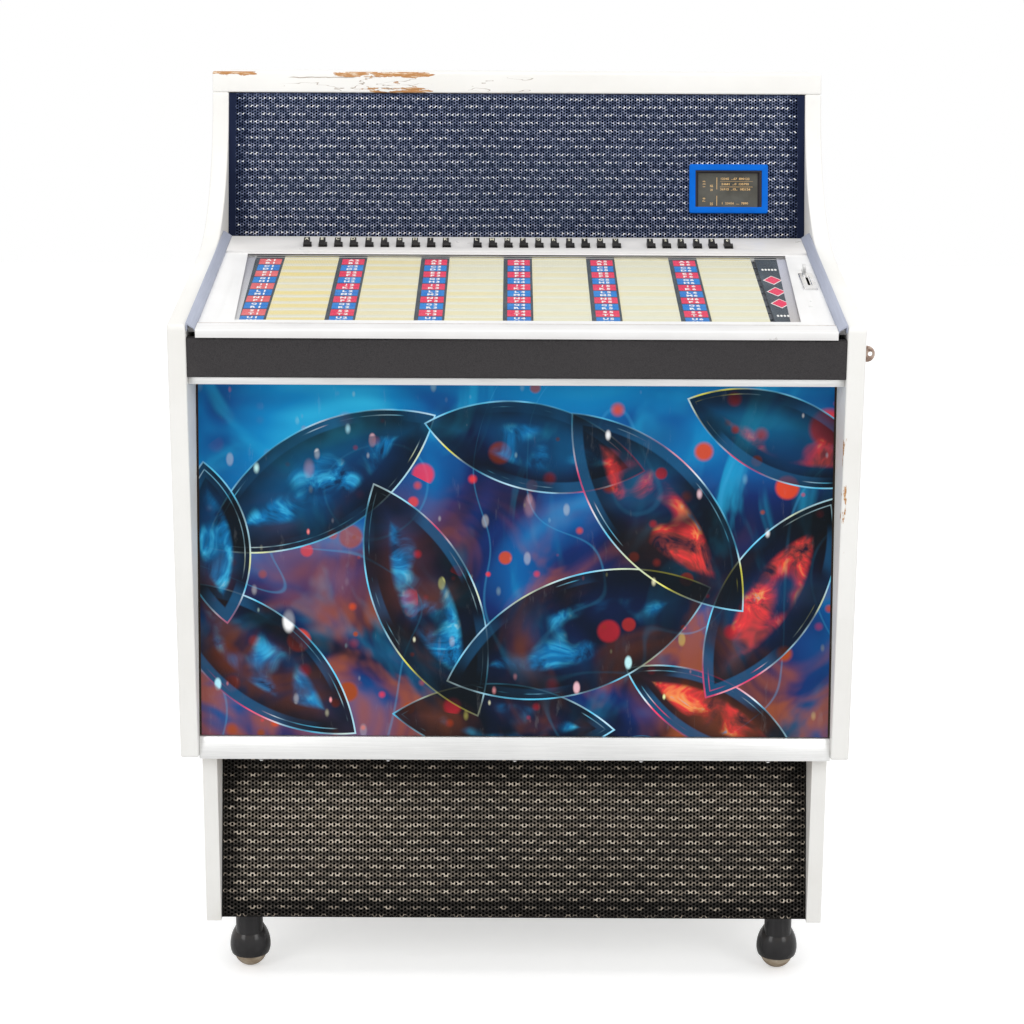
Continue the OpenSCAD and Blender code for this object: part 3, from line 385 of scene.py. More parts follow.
def white_paint_finish():
    """Warm white paint with smudges, flakes down to the wood and hairline cracks."""
    material, tree, shader = new_finish("white_paint", Specular_IOR_Level=0.35)
    where = place_on(tree)
    x, y, z = axes(tree, where)[:3]
    patchy = noise(tree, where, 5.0, 5.0)
    colour = ramp(tree, patchy, (0.30, (0.825, 0.812, 0.775)), (0.62, (0.885, 0.878, 0.850)))
    smudge = rise(tree, noise(tree, where, 21.0, 5.0, 0.6, (1.0, 1.0, 0.35)), 0.62, 0.80)
    colour = blend_in(tree, sums(tree, "MULTIPLY", smudge, 0.22), colour, (0.66, 0.62, 0.54))
    # the top board's front edge, worn in two stretches, and flaking under the second
    front = rise(tree, y, 0.200, 0.182)
    upper = sums(tree, "MAXIMUM", sums(tree, "MULTIPLY", within(tree, x, -0.455, -0.405, 0.06), rise(
        tree, z, 1.2225, 1.2335)), sums(tree, "MULTIPLY", within(tree, x, -0.250, -0.150, 0.05), rise(
            tree, z, 1.2195, 1.2315)))
    lower = sums(tree, "MULTIPLY", within(tree, x, -0.205, -0.145, 0.035), within(
        tree, z, 1.2045, 1.2105, 0.006))
    between_them = sums(tree, "MULTIPLY", within(tree, x, -0.235, -0.140, 0.03), 0.42)
    board = sums(tree, "MULTIPLY", front, sums(tree, "MAXIMUM", between_them, sums(
        tree, "MAXIMUM", upper, sums(tree, "MULTIPLY", lower, 0.9))))
    # chips on the noses of the side panels, and the worn inner edge of the right one
    outside = rise(tree, sums(tree, "ABSOLUTE", x), 0.4225, 0.4245)
    noses = sums(tree, "MULTIPLY", sums(tree, "MULTIPLY", outside, rise(tree, y, -0.300, -0.318)),
                 within(tree, z, 0.900, 0.935, 0.02))
    streak = sums(tree, "MULTIPLY", sums(tree, "MULTIPLY", within(tree, x, 0.4255, 0.4315, 0.003),
                                         rise(tree, y, -0.300, -0.318)),
                  within(tree, z, 0.640, 0.770, 0.07))
    mask = sums(tree, "MAXIMUM", board, sums(tree, "MULTIPLY", noses, 0.30))
    off = flaked(tree, where, mask, 105.0, (0.34, 1.0, 1.5))
    along = flaked(tree, where, sums(tree, "MULTIPLY", streak, 0.64), 95.0, (1.4, 1.0, 0.30))
    off = sums(tree, "MAXIMUM", sums(tree, "MULTIPLY", off, rise(tree, streak, 0.2, 0.0)), along)
    wood = ramp(tree, noise(tree, where, 240.0, 4.0, 0.6, (0.3, 1.0, 1.6)),
                (0.35, (0.44, 0.20, 0.065)), (0.52, WOOD), (0.68, (0.78, 0.66, 0.50)))
    colour = blend_in(tree, off, colour, wood)
    # hairline cracks run with the board
    crack_field = noise(tree, where, 26.0, 3.0, 0.55, (0.35, 1.0, 2.2))
    line = sums(tree, "ABSOLUTE", sums(tree, "SUBTRACT", crack_field, 0.5))
    cracks = sums(tree, "MULTIPLY", rise(tree, line, 0.0060, 0.0020), sums(
        tree, "MULTIPLY", sums(tree, "MULTIPLY", front, within(tree, z, 1.209, 1.226, 0.003)),
        sums(tree, "MAXIMUM", within(tree, x, -0.325, -0.150, 0.03), within(tree, x, -0.06, 0.02, 0.02))))
    drift = sums(tree, "MULTIPLY", sums(tree, "SUBTRACT", noise(tree, where, 30.0, 3.0), 0.5), 0.006)
    split = within(tree, sums(tree, "ADD", z, drift), 1.2262, 1.2270, 0.0004)
    split = sums(tree, "MULTIPLY", sums(tree, "MULTIPLY", split, front),
                 within(tree, x, -0.330, -0.245, 0.01))
    cracks = sums(tree, "MAXIMUM", cracks, split)
    colour = blend_in(tree, sums(tree, "MULTIPLY", cracks, 0.75), colour, (0.23, 0.15, 0.09))
    rough = ramp(tree, noise(tree, where, 17.0, 4.0), (0.3, 0.36), (0.7, 0.52))
    fine = noise(tree, where, 260.0, 3.0)
    height = sums(tree, "SUBTRACT", sums(tree, "MULTIPLY", fine, 0.10), off)
    lead(tree, shader, Base_Color=colour, Roughness=rough, Normal=bump(tree, height, 0.0005, 0.55))
    return material


paint = white_paint_finish()
softened("side_panels", "painted_side_panels", paint, "cabinet", 2.2)
softened("top_board", "painted_top_board", paint, "cabinet", 2.0)
softened("plinth_box", "painted_plinth", paint, "cabinet", 1.6)
print("painted boards:", 3)

# %% [markdown]
# ## Metal and moulded finishes
# Most of the trim is drawn aluminium: long fine lines along the bar, a little cloudiness
# and a satin gloss. The lid is enamelled steel, whose front bar and key rail carry the
# fine lines of a drawn profile. Moulded plastic parts differ from each other mostly in
# gloss, in dust and in how the wear shows. Scanned images could carry all that, but noise
# that is stretched along the bar has no seams and follows the piece wherever it moves.

# %%  Aluminium, enamel, steel, chrome
def drawn_metal_finish(name, colour, rough, lines=(0.02, 1.0, 1.0), line_scale=700.0, metal=1.0):
    """Metal with fine lines along X, slightly cloudy."""
    material, tree, shader = new_finish(name, Metallic=metal)
    where = place_on(tree)
    fine = noise(tree, where, line_scale, 3.0, 0.6, lines)
    cloudy = noise(tree, where, 9.0, 4.0)
    mixed = sums(tree, "ADD", sums(tree, "MULTIPLY", fine, 0.55), sums(tree, "MULTIPLY", cloudy, 0.45))
    dim = tuple(c * 0.86 for c in colour)
    lead(tree, shader, Base_Color=ramp(tree, mixed, (0.36, dim), (0.62, colour)),
         Roughness=ramp(tree, mixed, (0.3, rough + 0.08), (0.7, rough - 0.06)),
         Normal=bump(tree, fine, 0.00012, 0.5))
    return material


def enamel_finish():
    """White enamel; the front bar and the key rail have the fine lines of a drawn profile."""
    material, tree, shader = new_finish("white_enamel", Specular_IOR_Level=0.5)
    where = on_lid(tree)
    s = axes(tree, where)[1]
    profile = sums(tree, "MAXIMUM", rise(tree, s, 0.0275, 0.0265), rise(tree, s, 0.3365, 0.3375))
    lines = knot(tree, "ShaderNodeTexWave", {"Vector": where, "Scale": 55.0, "Distortion": 0.5,
                                             "Detail": 1.0}, bands_direction="Y").outputs["Fac"]
    lined = sums(tree, "MULTIPLY", profile, lines)
    cloudy = noise(tree, where, 12.0, 4.0)
    colour = ramp(tree, cloudy, (0.3, (0.83, 0.825, 0.815)), (0.7, (0.89, 0.885, 0.88)))
    rail = rise(tree, s, 0.3300, 0.3400)
    colour = blend_in(tree, sums(tree, "MULTIPLY", rail, 0.75), colour, (0.74, 0.72, 0.70))
    colour = blend_in(tree, sums(tree, "MULTIPLY", lined, 0.30), colour, (0.62, 0.60, 0.58))
    scuffs = rise(tree, noise(tree, where, 34.0, 7.0, 0.68, (0.5, 2.0, 1.0)), 0.685, 0.71)
    colour = blend_in(tree, sums(tree, "MULTIPLY", scuffs, 0.55), colour, (0.42, 0.40, 0.38))
    lead(tree, shader, Base_Color=colour, Roughness=ramp(tree, cloudy, (0.3, 0.26), (0.7, 0.38)),
         Normal=bump(tree, lined, 0.00025, 0.4))
    return material


def chrome_finish():
    """Chromium plate, hazed in patches."""
    material, tree, shader = new_finish("chrome", Metallic=1.0)
    where = place_on(tree)
    haze = noise(tree, where, 60.0, 5.0)
    lead(tree, shader, Base_Color=ramp(tree, haze, (0.3, (0.66, 0.65, 0.64)), (0.7, (0.82, 0.82, 0.83))),
         Roughness=ramp(tree, haze, (0.35, 0.10), (0.75, 0.30)))
    return material


def browned_steel_finish():
    """Steel that has taken a brown skin: mottled, with darker pits."""
    material, tree, shader = new_finish("ear_steel", Metallic=0.55)
    where = place_on(tree)
    skin = noise(tree, where, 130.0, 6.0, 0.65)
    lead(tree, shader, Base_Color=ramp(tree, skin, (0.32, (0.16, 0.095, 0.065)), (0.5, (0.42, 0.31, 0.25)),
                                       (0.72, (0.56, 0.47, 0.41))),
         Roughness=ramp(tree, skin, (0.3, 0.62), (0.7, 0.42)), Normal=bump(tree, skin, 0.0003, 0.5))
    return material


aluminium = drawn_metal_finish("aluminium", (0.83, 0.83, 0.82), 0.38, metal=0.7)
trim_metal = drawn_metal_finish("trim_aluminium", (0.44, 0.47, 0.57), 0.52, (1.0, 0.03, 0.03), metal=0.25)
zinc = drawn_metal_finish("zinc_steel", (0.56, 0.57, 0.59), 0.40, (0.3, 1.0, 1.0), 90.0)
enamel = enamel_finish()
chrome = chrome_finish()
browned = browned_steel_finish()


# %%  Moulded plastics, rubber, board
def moulded_finish(name, colour, rough, dust=0.0, dust_colour=(0.30, 0.26, 0.21), grain=320.0, deep=0.00008,
                   sheen=0.5):
    """Plastic with a fine skin texture, uneven gloss and dust that settles on top."""
    material, tree, shader = new_finish(name, Specular_IOR_Level=sheen)
    where = place_on(tree)
    skin = noise(tree, where, grain, 3.0)
    patchy = noise(tree, where, 16.0, 5.0, 0.6)
    dim = tuple(c * 0.78 for c in colour)
    shade = ramp(tree, patchy, (0.32, dim), (0.66, colour))
    if dust:
        up = axes(tree, knot(tree, "ShaderNodeNewGeometry").outputs["Normal"])[2]
        settled = sums(tree, "MULTIPLY", rise(tree, up, 0.15, 0.95),
                       rise(tree, noise(tree, where, 45.0, 5.0, 0.65), 0.40, 0.68))
        shade = blend_in(tree, sums(tree, "MULTIPLY", settled, dust), shade, dust_colour)
    lead(tree, shader, Base_Color=shade, Normal=bump(tree, skin, deep, 0.5),
         Roughness=ramp(tree, patchy, (0.3, rough + 0.10), (0.7, max(rough - 0.08, 0.05))))
    return material


def board_finish(name, pale, dark, scale=110.0, stretch=(1.0, 1.0, 1.0)):
    """Chipboard or hardboard: small chips of several browns, matt."""
    material, tree, shader = new_finish(name, Specular_IOR_Level=0.25)
    where = place_on(tree)
    chips = knot(tree, "ShaderNodeTexVoronoi", {"Vector": knot(tree, "ShaderNodeMapping", {
        "Vector": where, "Scale": stretch}).outputs[0], "Scale": scale}).outputs["Color"]
    fibre = noise(tree, where, 240.0, 5.0, 0.7)
    shade = ramp(tree, axes(tree, chips)[0], (0.1, dark), (0.9, pale))
    shade = blend_in(tree, 0.5, shade, ramp(tree, fibre, (0.3, dark), (0.7, pale)))
    stain = rise(tree, noise(tree, where, 5.0, 5.0, 0.6), 0.48, 0.70)
    shade = blend_in(tree, sums(tree, "MULTIPLY", stain, 0.35), shade, tuple(c * 0.45 for c in dark))
    lead(tree, shader, Base_Color=shade, Roughness=ramp(tree, fibre, (0.2, 0.72), (0.8, 0.92)),
         Normal=bump(tree, fibre, 0.0003, 0.6))
    return material


key_black = moulded_finish("key_black", (0.010, 0.009, 0.009), 0.34, 0.14, (0.12, 0.11, 0.10), sheen=0.16)
bezel_blue = moulded_finish("blue_plastic", (0.0, 0.150, 0.70), 0.42, 0.04, (0.20, 0.35, 0.60), 240.0,
                            0.00012, 0.10)
hood_black = moulded_finish("hood_black", (0.017, 0.016, 0.017), 0.17, 0.55, (0.14, 0.105, 0.072), sheen=0.34)
dark_slate = moulded_finish("rack_slate", (0.036, 0.046, 0.064), 0.42, 0.20, (0.16, 0.17, 0.19))
speaker_black = moulded_finish("speaker_black", (0.035, 0.034, 0.033), 0.72, 0.30, (0.16, 0.15, 0.13), 150.0,
                               0.0004)
chipboard = board_finish("board", (0.52, 0.37, 0.22), (0.27, 0.17, 0.09))
hardboard = board_finish("rear_board", (0.27, 0.155, 0.08), (0.125, 0.066, 0.035), 300.0, (1.0, 1.0, 0.6))
print("finishes so far:", len(bpy.data.materials))

# %% [markdown]
# ## Ball casters
# Each caster is a ball in a domed hood. The hoods are glossy black plastic, dusty brown
# towards the neck; the balls are pale plastic that years of rolling have scuffed and
# browned. The scuffs run round the ball, so their noise is stretched.

# %%  Finish of the rolling balls
def ball_finish():
    """Pale plastic, scuffed round the ball and browned."""
    material, tree, shader = new_finish("ball_plastic", Specular_IOR_Level=0.35)
    where = place_on(tree)
    scuff = noise(tree, where, 70.0, 7.0, 0.68, (0.45, 1.0, 1.3))
    stain = noise(tree, where, 26.0, 4.0)
    shade = ramp(tree, scuff, (0.30, (0.17, 0.115, 0.07)), (0.48, (0.34, 0.27, 0.19)),
                 (0.70, (0.50, 0.43, 0.34)))
    shade = blend_in(tree, rise(tree, stain, 0.52, 0.72), shade, (0.13, 0.095, 0.065))
    lead(tree, shader, Base_Color=shade, Roughness=ramp(tree, scuff, (0.3, 0.62), (0.7, 0.44)),
         Normal=bump(tree, scuff, 0.0004, 0.5))
    return material


worn_ball = ball_finish()
for k in range(1, 5):
    dressed(f"caster_hood_{k}", hood_black)
    dressed(f"caster_ball_{k}", worn_ball)

# %% [markdown]
# ## Leathercloth, rails and trims
# Under the lid the apron board is wrapped in black leathercloth. Its grain is a field of
# small rounded cells, which a Voronoi texture gives directly: the distance to the cell's
# edge makes the valleys between the pebbles.

# %%  Leathercloth and the aluminium parts
def leathercloth_finish():
    """Black coated cloth with a pebbled grain, paler where it is worn."""
    material, tree, shader = new_finish("black_cloth", Specular_IOR_Level=0.30)
    where = place_on(tree)
    pebble = knot(tree, "ShaderNodeTexVoronoi", {"Vector": where, "Scale": 620.0, "Randomness": 0.9},
                  feature="DISTANCE_TO_EDGE").outputs["Distance"]
    soft = noise(tree, where, 300.0, 4.0, 0.6)
    worn = noise(tree, where, 7.0, 5.0)
    height = sums(tree, "ADD", rise(tree, pebble, 0.0, 0.28), sums(tree, "MULTIPLY", soft, 0.5))
    shade = ramp(tree, height, (0.25, (0.022, 0.020, 0.021)), (0.95, (0.047, 0.043, 0.045)))
    shade = blend_in(tree, sums(tree, "MULTIPLY", rise(tree, worn, 0.5, 0.75), 0.35), shade,
                     (0.075, 0.068, 0.068))
    lead(tree, shader, Base_Color=shade, Roughness=ramp(tree, worn, (0.3, 0.50), (0.7, 0.62)),
         Normal=bump(tree, height, 0.0004, 0.8))
    return material


dressed("apron_band", leathercloth_finish())
softened("front_rails", "aluminium_rails", aluminium, "cabinet", 0.7, 2)
softened("side_trims", "lid_side_trims", trim_metal, "lid", 0.35, 2)
softened("lid_frame", "enamelled_lid", enamel, "lid", 0.5, 2)
dressed("hinge_rail", zinc)
dressed("cabinet_frame", chipboard)
dressed("rear_panel", hardboard)
dressed("loudspeakers", speaker_black)
softened("lock_ear", "browned_lock_ear", browned, "cabinet", 0.4, 2)
print("rails, trims and lid done")

# %% [markdown]
# ## Perforated sheets
# Both grilles are sheet steel punched with rows of small holes, each row shifted by half
# a step, so that every hole has six neighbours. Geometry Nodes draw that honestly: one
# cell is a hexagon whose middle is scaled in and pushed back, a grid gives the cells'
# places, every other column is shifted by half the pitch, and the cells are welded into
# one sheet. The plain folded sheet of the frame stays for collision only.

# %%  Helpers for Geometry Nodes
def new_rule(name, **inputs):
    """A tree with named inputs. Each is (socket kind, value)."""
    tree = bpy.data.node_groups.new(name, "GeometryNodeTree")
    tree.is_modifier = True
    face = tree.interface
    face.new_socket("Geometry", in_out="OUTPUT", socket_type="NodeSocketGeometry")
    for label, (kind, value) in inputs.items():
        socket = face.new_socket(label, in_out="INPUT", socket_type="NodeSocket" + kind)
        if value is not None:
            socket.default_value = value
    return tree, tree.nodes.new("NodeGroupInput").outputs, tree.nodes.new("NodeGroupOutput").inputs[0]


def close_rule(tree, result, material, end):
    """Every rule ends in real geometry with its finish on it."""
    real = knot(tree, "GeometryNodeRealizeInstances", {0: result}).outputs[0]
    named = knot(tree, "GeometryNodeSetMaterial", {"Geometry": real, "Material": material}).outputs[0]
    tree.links.new(named, end)


def grown(name, tree, body, slot, into=None, smooth=False, **values):
    """Runs a rule once and keeps what it makes as a plain mesh. into turns and moves it."""
    holder = bpy.data.objects.new(name + "_seed", bpy.data.meshes.new(name + "_seed"))
    bpy.context.scene.collection.objects.link(holder)
    modifier = holder.modifiers.new("rule", "NODES")
    modifier.node_group = tree
    for item in tree.interface.items_tree:
        if item.in_out == "INPUT" and item.name in values:
            modifier[item.identifier] = values[item.name]
    bpy.context.view_layer.update()
    mesh = bpy.data.meshes.new_from_object(holder.evaluated_get(bpy.context.evaluated_depsgraph_get()))
    bpy.data.objects.remove(holder)
    mesh.name = name
    if into is not None:
        mesh.transform(into)
    if smooth:
        mesh.shade_smooth()
        mesh.set_sharp_from_angle(angle=math.radians(35))
    print(name, "faces:", len(mesh.polygons))
    return keep(bpy.data.objects.new(name, mesh), body)


# %%  The rule for a punched sheet
def punched_sheet_rule():
    """A sheet of hexagonal cells, each with a hole. Lengths are in millimetres, Hole is a share of a cell."""
    tree, given, end = new_rule("punched_sheet", Columns=("Int", 10), Rows=("Int", 10), Pitch=("Float", 4.0),
                                Hole=("Float", 0.76), Thickness=("Float", 1.0), Finish=("Material", None))
    corner = sums(tree, "DIVIDE", given["Pitch"], math.sqrt(3))
    outline = knot(tree, "GeometryNodeMeshCircle", {"Vertices": 6, "Radius": corner},
                   fill_type="NGON").outputs[0]
    inset = knot(tree, "GeometryNodeExtrudeMesh", {"Mesh": outline, "Offset Scale": 0.0}, mode="FACES")
    narrowed = knot(tree, "GeometryNodeScaleElements", {
        "Geometry": inset.outputs["Mesh"], "Selection": inset.outputs["Top"], "Scale": given["Hole"]},
        domain="FACE").outputs[0]
    pushed = knot(tree, "GeometryNodeExtrudeMesh", {
        "Mesh": narrowed, "Selection": inset.outputs["Top"],
        "Offset Scale": sums(tree, "MULTIPLY", given["Thickness"], -1.0)}, mode="FACES")
    cell = knot(tree, "GeometryNodeDeleteGeometry", {
        "Geometry": pushed.outputs["Mesh"], "Selection": pushed.outputs["Top"]}, domain="FACE").outputs[0]
    step = sums(tree, "MULTIPLY", given["Pitch"], math.sqrt(3) / 2)
    wide = sums(tree, "MULTIPLY", step, sums(tree, "SUBTRACT", given["Columns"], 1.0))
    high = sums(tree, "MULTIPLY", given["Pitch"], sums(tree, "SUBTRACT", given["Rows"], 1.0))
    places = knot(tree, "GeometryNodeMeshGrid", {
        "Size X": wide, "Size Y": high, "Vertices X": given["Columns"],
        "Vertices Y": given["Rows"]}).outputs[0]
    x = axes(tree, knot(tree, "GeometryNodeInputPosition").outputs[0])[0]
    from_left = sums(tree, "ADD", x, sums(tree, "MULTIPLY", wide, 0.5))
    column = sums(tree, "ROUND", sums(tree, "DIVIDE", from_left, step))
    odd = sums(tree, "FLOORED_MODULO", column, 2.0)
    half_pitch = sums(tree, "MULTIPLY", given["Pitch"], 0.5)
    shift = knot(tree, "ShaderNodeCombineXYZ", {1: sums(tree, "MULTIPLY", odd, half_pitch)}).outputs[0]
    shifted = knot(tree, "GeometryNodeSetPosition", {"Geometry": places, "Offset": shift}).outputs[0]
    cells = knot(tree, "GeometryNodeInstanceOnPoints", {"Points": shifted, "Instance": cell}).outputs[0]
    real = knot(tree, "GeometryNodeRealizeInstances", {0: cells}).outputs[0]
    welded = knot(tree, "GeometryNodeMergeByDistance", {"Geometry": real, "Distance": 0.02}).outputs[0]
    close_rule(tree, welded, given["Finish"], end)
    return tree


# %% [markdown]
# ### Light and shade painted on a punched sheet
# The webs between the holes aren't flat: punching rounds them, so they flash where they
# face a lamp, and the flashes gather in rows of short dashes, with dim diamonds between
# the rows. Modelling every rounded web would take millions of faces. Arithmetic on the
# sheet's own coordinates paints the same rhythm into the webs' colour, as painted
# highlights and painted shade, and two noises break it, so that no two flashes are alike.
# The same colour carries painted shade towards the sides and down the holes, and on the
# plinth's sheet painted shade at its top and foot and a painted brighter upper part.

# %%  Finish of the grilles
def grille_finish(name, stand, lean, colours, steps, spans, levels, half_width, profile):
    """
    Webs whose colour is painted light: three colours (unlit, usual, lit) and a fourth for the painted
    flashes. The flashes are painted highlights, short dashes in rows, gathered in groups, and shifted by half
    from one row to the next. steps are those of rows, dashes and groups; spans say which part of a step a row
    and a dash fill;
    levels are the strength of the painted flashes, of the rows' painted glow, of the fine grain in the
    painted light, of the painted patches of light and shade, of the lattice of painted dim diamonds between
    the rows and of the broad drift of painted light over the sheet. profile is the height of the sheet's
    upper edge, how much painted shade darkens the sheet near its two ends, and how much painted light
    brightens its upper part over its foot. The webs also darken in painted shade towards the sheet's sides
    and down the holes.
    """
    unlit, usual, lit, flash = colours
    row_step, dash_step, group_step = steps
    (row_low, row_high), (dash_low, dash_high) = spans
    glints, glow, grain, patches, lattice, drift = levels
    top, end_shade, lift = profile
    material, tree, shader = new_finish(name, Specular_IOR_Level=0.06)
    where = place_on(tree, stand, (math.radians(90.0 - lean), 0, 0))
    x, v, w = axes(tree, where)[:3]
    wobble = sums(tree, "SUBTRACT", noise(tree, where, 5.0, 2.0), 0.5)
    rows = sums(tree, "MULTIPLY_ADD", v, 1.0 / row_step, sums(tree, "MULTIPLY", wobble, 0.5))
    phase = sums(tree, "FRACT", rows)
    half_shift = sums(tree, "FRACT", sums(tree, "MULTIPLY", sums(tree, "FLOOR", rows), 0.5))
    groups = sums(tree, "ADD", half_shift, sums(
        tree, "MULTIPLY_ADD", x, 1.0 / group_step, sums(tree, "MULTIPLY", wobble, 1.2)))
    crowd = sums(tree, "COSINE", sums(tree, "MULTIPLY", groups, 2 * math.pi))
    crowd = sums(tree, "MULTIPLY_ADD", crowd, 0.5, 0.5)
    dashes = sums(tree, "FRACT", sums(tree, "MULTIPLY_ADD", x, 1.0 / dash_step, half_shift))
    dash = within(tree, dashes, dash_low, dash_high, 0.10)
    band = within(tree, phase, row_low, row_high, 0.07)
    fine = noise(tree, where, 340.0, 1.0, 0.5, (0.45, 1.25, 1.0))
    close = rise(tree, crowd, 0.30, 0.92)
    patch = noise(tree, where, 95.0, 1.0, 0.5, (0.75, 1.25, 1.0))
    uneven = sums(tree, "MULTIPLY", sums(tree, "MULTIPLY_ADD", close, 0.70, 0.30),
                  sums(tree, "MULTIPLY_ADD", rise(tree, patch, 0.40, 0.62), 0.55, 0.60))
    # painted highlights: short dashes of light in rows, stronger where the groups crowd
    flashes = sums(tree, "MULTIPLY", sums(tree, "MULTIPLY", dash, band), uneven)
    middle = (row_low + row_high) / 2
    wave = sums(tree, "COSINE", sums(tree, "MULTIPLY", sums(tree, "SUBTRACT", phase, middle), 2 * math.pi))
    wave = sums(tree, "MULTIPLY", wave, sums(tree, "MULTIPLY_ADD", close, 1.1, 0.45))
    # light sums painted light and shade, with the rows' painted glow; the ramp below turns it into the webs'
    # colour
    light = sums(tree, "ADD", sums(tree, "MULTIPLY", flashes, glints), sums(tree, "MULTIPLY", wave, glow))
    # a fine grain and broad patches of painted light and shade
    light = sums(tree, "ADD", light, sums(tree, "MULTIPLY", sums(tree, "SUBTRACT", fine, 0.5), grain))
    light = sums(tree, "ADD", light, sums(tree, "MULTIPLY", sums(tree, "SUBTRACT", patch, 0.5), patches))
    # painted shade: a lattice of dim diamonds between the rows
    across = sums(tree, "COSINE", sums(tree, "MULTIPLY", x, math.pi / dash_step))
    upward = sums(tree, "COSINE", sums(tree, "MULTIPLY", sums(tree, "SUBTRACT", rows, middle - 0.3), math.pi))
    light = sums(tree, "ADD", light, sums(tree, "MULTIPLY", sums(tree, "MULTIPLY", across, upward), lattice))
    # a broad drift of painted light and shade over the sheet
    light = sums(tree, "ADD", light, sums(tree, "MULTIPLY", sums(
        tree, "SUBTRACT", noise(tree, where, 3.2, 3.0), 0.5), drift))
    # painted light: the upper part of the sheet is brighter than its foot
    light = sums(tree, "ADD", light, sums(tree, "MULTIPLY", rise(tree, v, 0.15 * top, 0.60 * top), lift))
    # painted shade near the sheet's top and foot
    ends = sums(tree, "MAXIMUM", rise(tree, v, top - 0.078, top - 0.044), rise(tree, v, 0.036, 0.020))
    light = sums(tree, "SUBTRACT", light, sums(tree, "MULTIPLY", ends, end_shade))
    # painted shade: the webs darken over the last 30 mm towards the sheet's sides
    inner = rise(tree, sums(tree, "ABSOLUTE", x), half_width, half_width - 0.03)
    light = sums(tree, "ADD", light, sums(tree, "MULTIPLY_ADD", inner, 0.15, 0.35))
    colour = ramp(tree, light, (0.34, unlit), (0.50, usual), (0.66, lit), (0.80, flash))
    # painted shade: the hole walls turn nearly black deeper than 0.05 to 0.4 mm
    deep = rise(tree, w, -0.0004, -0.00005)
    colour = blend_in(tree, deep, tuple(c * 0.12 for c in unlit), colour)
    lead(tree, shader, Base_Color=colour, Roughness=ramp(tree, fine, (0.3, 0.50), (0.7, 0.32)))
    return material


HEAD_TOP, PLINTH_TOP = 223.5, 254.6        # the sheets' upper edges, up their slopes
# Each grille's colours run from painted shade (unlit) to a painted highlight (flash); its levels and profile
# set its painted light and shade.
blue_sheet = grille_finish(
    "blue_grille", head_frame.to_translation(), HEAD_LEAN,
    ((0.022, 0.032, 0.074), (0.115, 0.145, 0.245), (0.42, 0.46, 0.60), (1.0, 1.0, 1.0)),
    (0.0117, 0.00755, 0.046), ((0.40, 0.54), (0.28, 0.72)), (0.44, 0.060, 0.32, 0.20, 0.085, 0.10),
    INNER * MM - 0.008, (HEAD_TOP * MM, 0.0, 0.0))
brown_sheet = grille_finish(
    "brown_grille", plinth_frame.to_translation(), PLINTH_LEAN,
    ((0.022, 0.020, 0.018), (0.100, 0.088, 0.076), (0.30, 0.255, 0.205), (0.62, 0.55, 0.46)),
    (0.0115, 0.0135, 0.038), ((0.30, 0.66), (0.14, 0.84)), (0.22, 0.085, 0.26, 0.16, 0.045, 0.26),
    0.400, (PLINTH_TOP * MM, 0.17, 0.05))
navy = moulded_finish("grille_border", (0.012, 0.018, 0.046), 0.6, sheen=0.05)
charcoal = moulded_finish("plinth_border", (0.012, 0.011, 0.010), 0.6, sheen=0.05)
lining = moulded_finish("grille_lining", (0.003, 0.005, 0.014), 0.9, sheen=0.0)
lining_brown = moulded_finish("plinth_lining", (0.004, 0.004, 0.004), 0.9, sheen=0.0)

# %%  The two grilles
punched_sheet = punched_sheet_rule()
HEAD_PITCH, HEAD_COLUMNS, HEAD_ROWS = 4.36, 110, 50
HEAD_LOW, HEAD_HIGH = 3.1, HEAD_TOP        # the sheet's lower and upper edge, up the slope
PLINTH_PITCH, PLINTH_COLUMNS, PLINTH_ROWS = 5.45, 171, 45
PLINTH_LOW, PLINTH_HIGH = 3.2, PLINTH_TOP
PLINTH_HALF = nodes["plinth_grille"].dimensions.x / 2 / MM
SHEET_T = 1.1
step = HEAD_PITCH * math.sqrt(3) / 2
for side, name in ((-1, "head_grille_left"), (1, "head_grille_right")):
    middle = Matrix.Translation((side * step * HEAD_COLUMNS / 2,
                                 HEAD_LOW + 1.6 + HEAD_PITCH * HEAD_ROWS / 2, 0))
    grown(name, punched_sheet, "cabinet", "blue_grille", head_frame @ middle, Columns=HEAD_COLUMNS,
          Rows=HEAD_ROWS, Pitch=HEAD_PITCH, Hole=0.74, Thickness=SHEET_T, Finish=blue_sheet)
HEAD_RIM = step * HEAD_COLUMNS - 0.8       # where the punched field ends and the plain rim begins
FOLD_IN, FOLD_T = 14.0, 1.2                # how far the rims are folded back, and how thick the fold is
GAP = 0.3                                  # between parts that are fitted together
ON_SHEET, ON_FOLD = -0.3, -1.3             # upper and lower face of the rims, off the slope
inside = INNER - GAP
rims = [((-inside, HEAD_LOW, ON_FOLD), (-HEAD_RIM - GAP, HEAD_HIGH, -0.2)),
        ((HEAD_RIM + GAP, HEAD_LOW, ON_FOLD), (inside, HEAD_HIGH, -0.2)),
        ((-HEAD_RIM, HEAD_LOW, ON_FOLD), (HEAD_RIM, HEAD_LOW + 2.6, ON_SHEET)),
        ((-HEAD_RIM, HEAD_HIGH - 3.0, ON_FOLD), (HEAD_RIM, HEAD_HIGH, ON_SHEET)),
        ((-inside, HEAD_LOW, -FOLD_IN), (-inside + FOLD_T, HEAD_HIGH, ON_FOLD)),
        ((inside - FOLD_T, HEAD_LOW, -FOLD_IN), (inside, HEAD_HIGH, ON_FOLD))]
rim = boxes("head_grille_rim", rims, head_frame, navy, "cabinet")
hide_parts("head_grille")
LINING_LOW, LINING_HIGH = -7.0, -6.0       # the dark cloth behind the holes
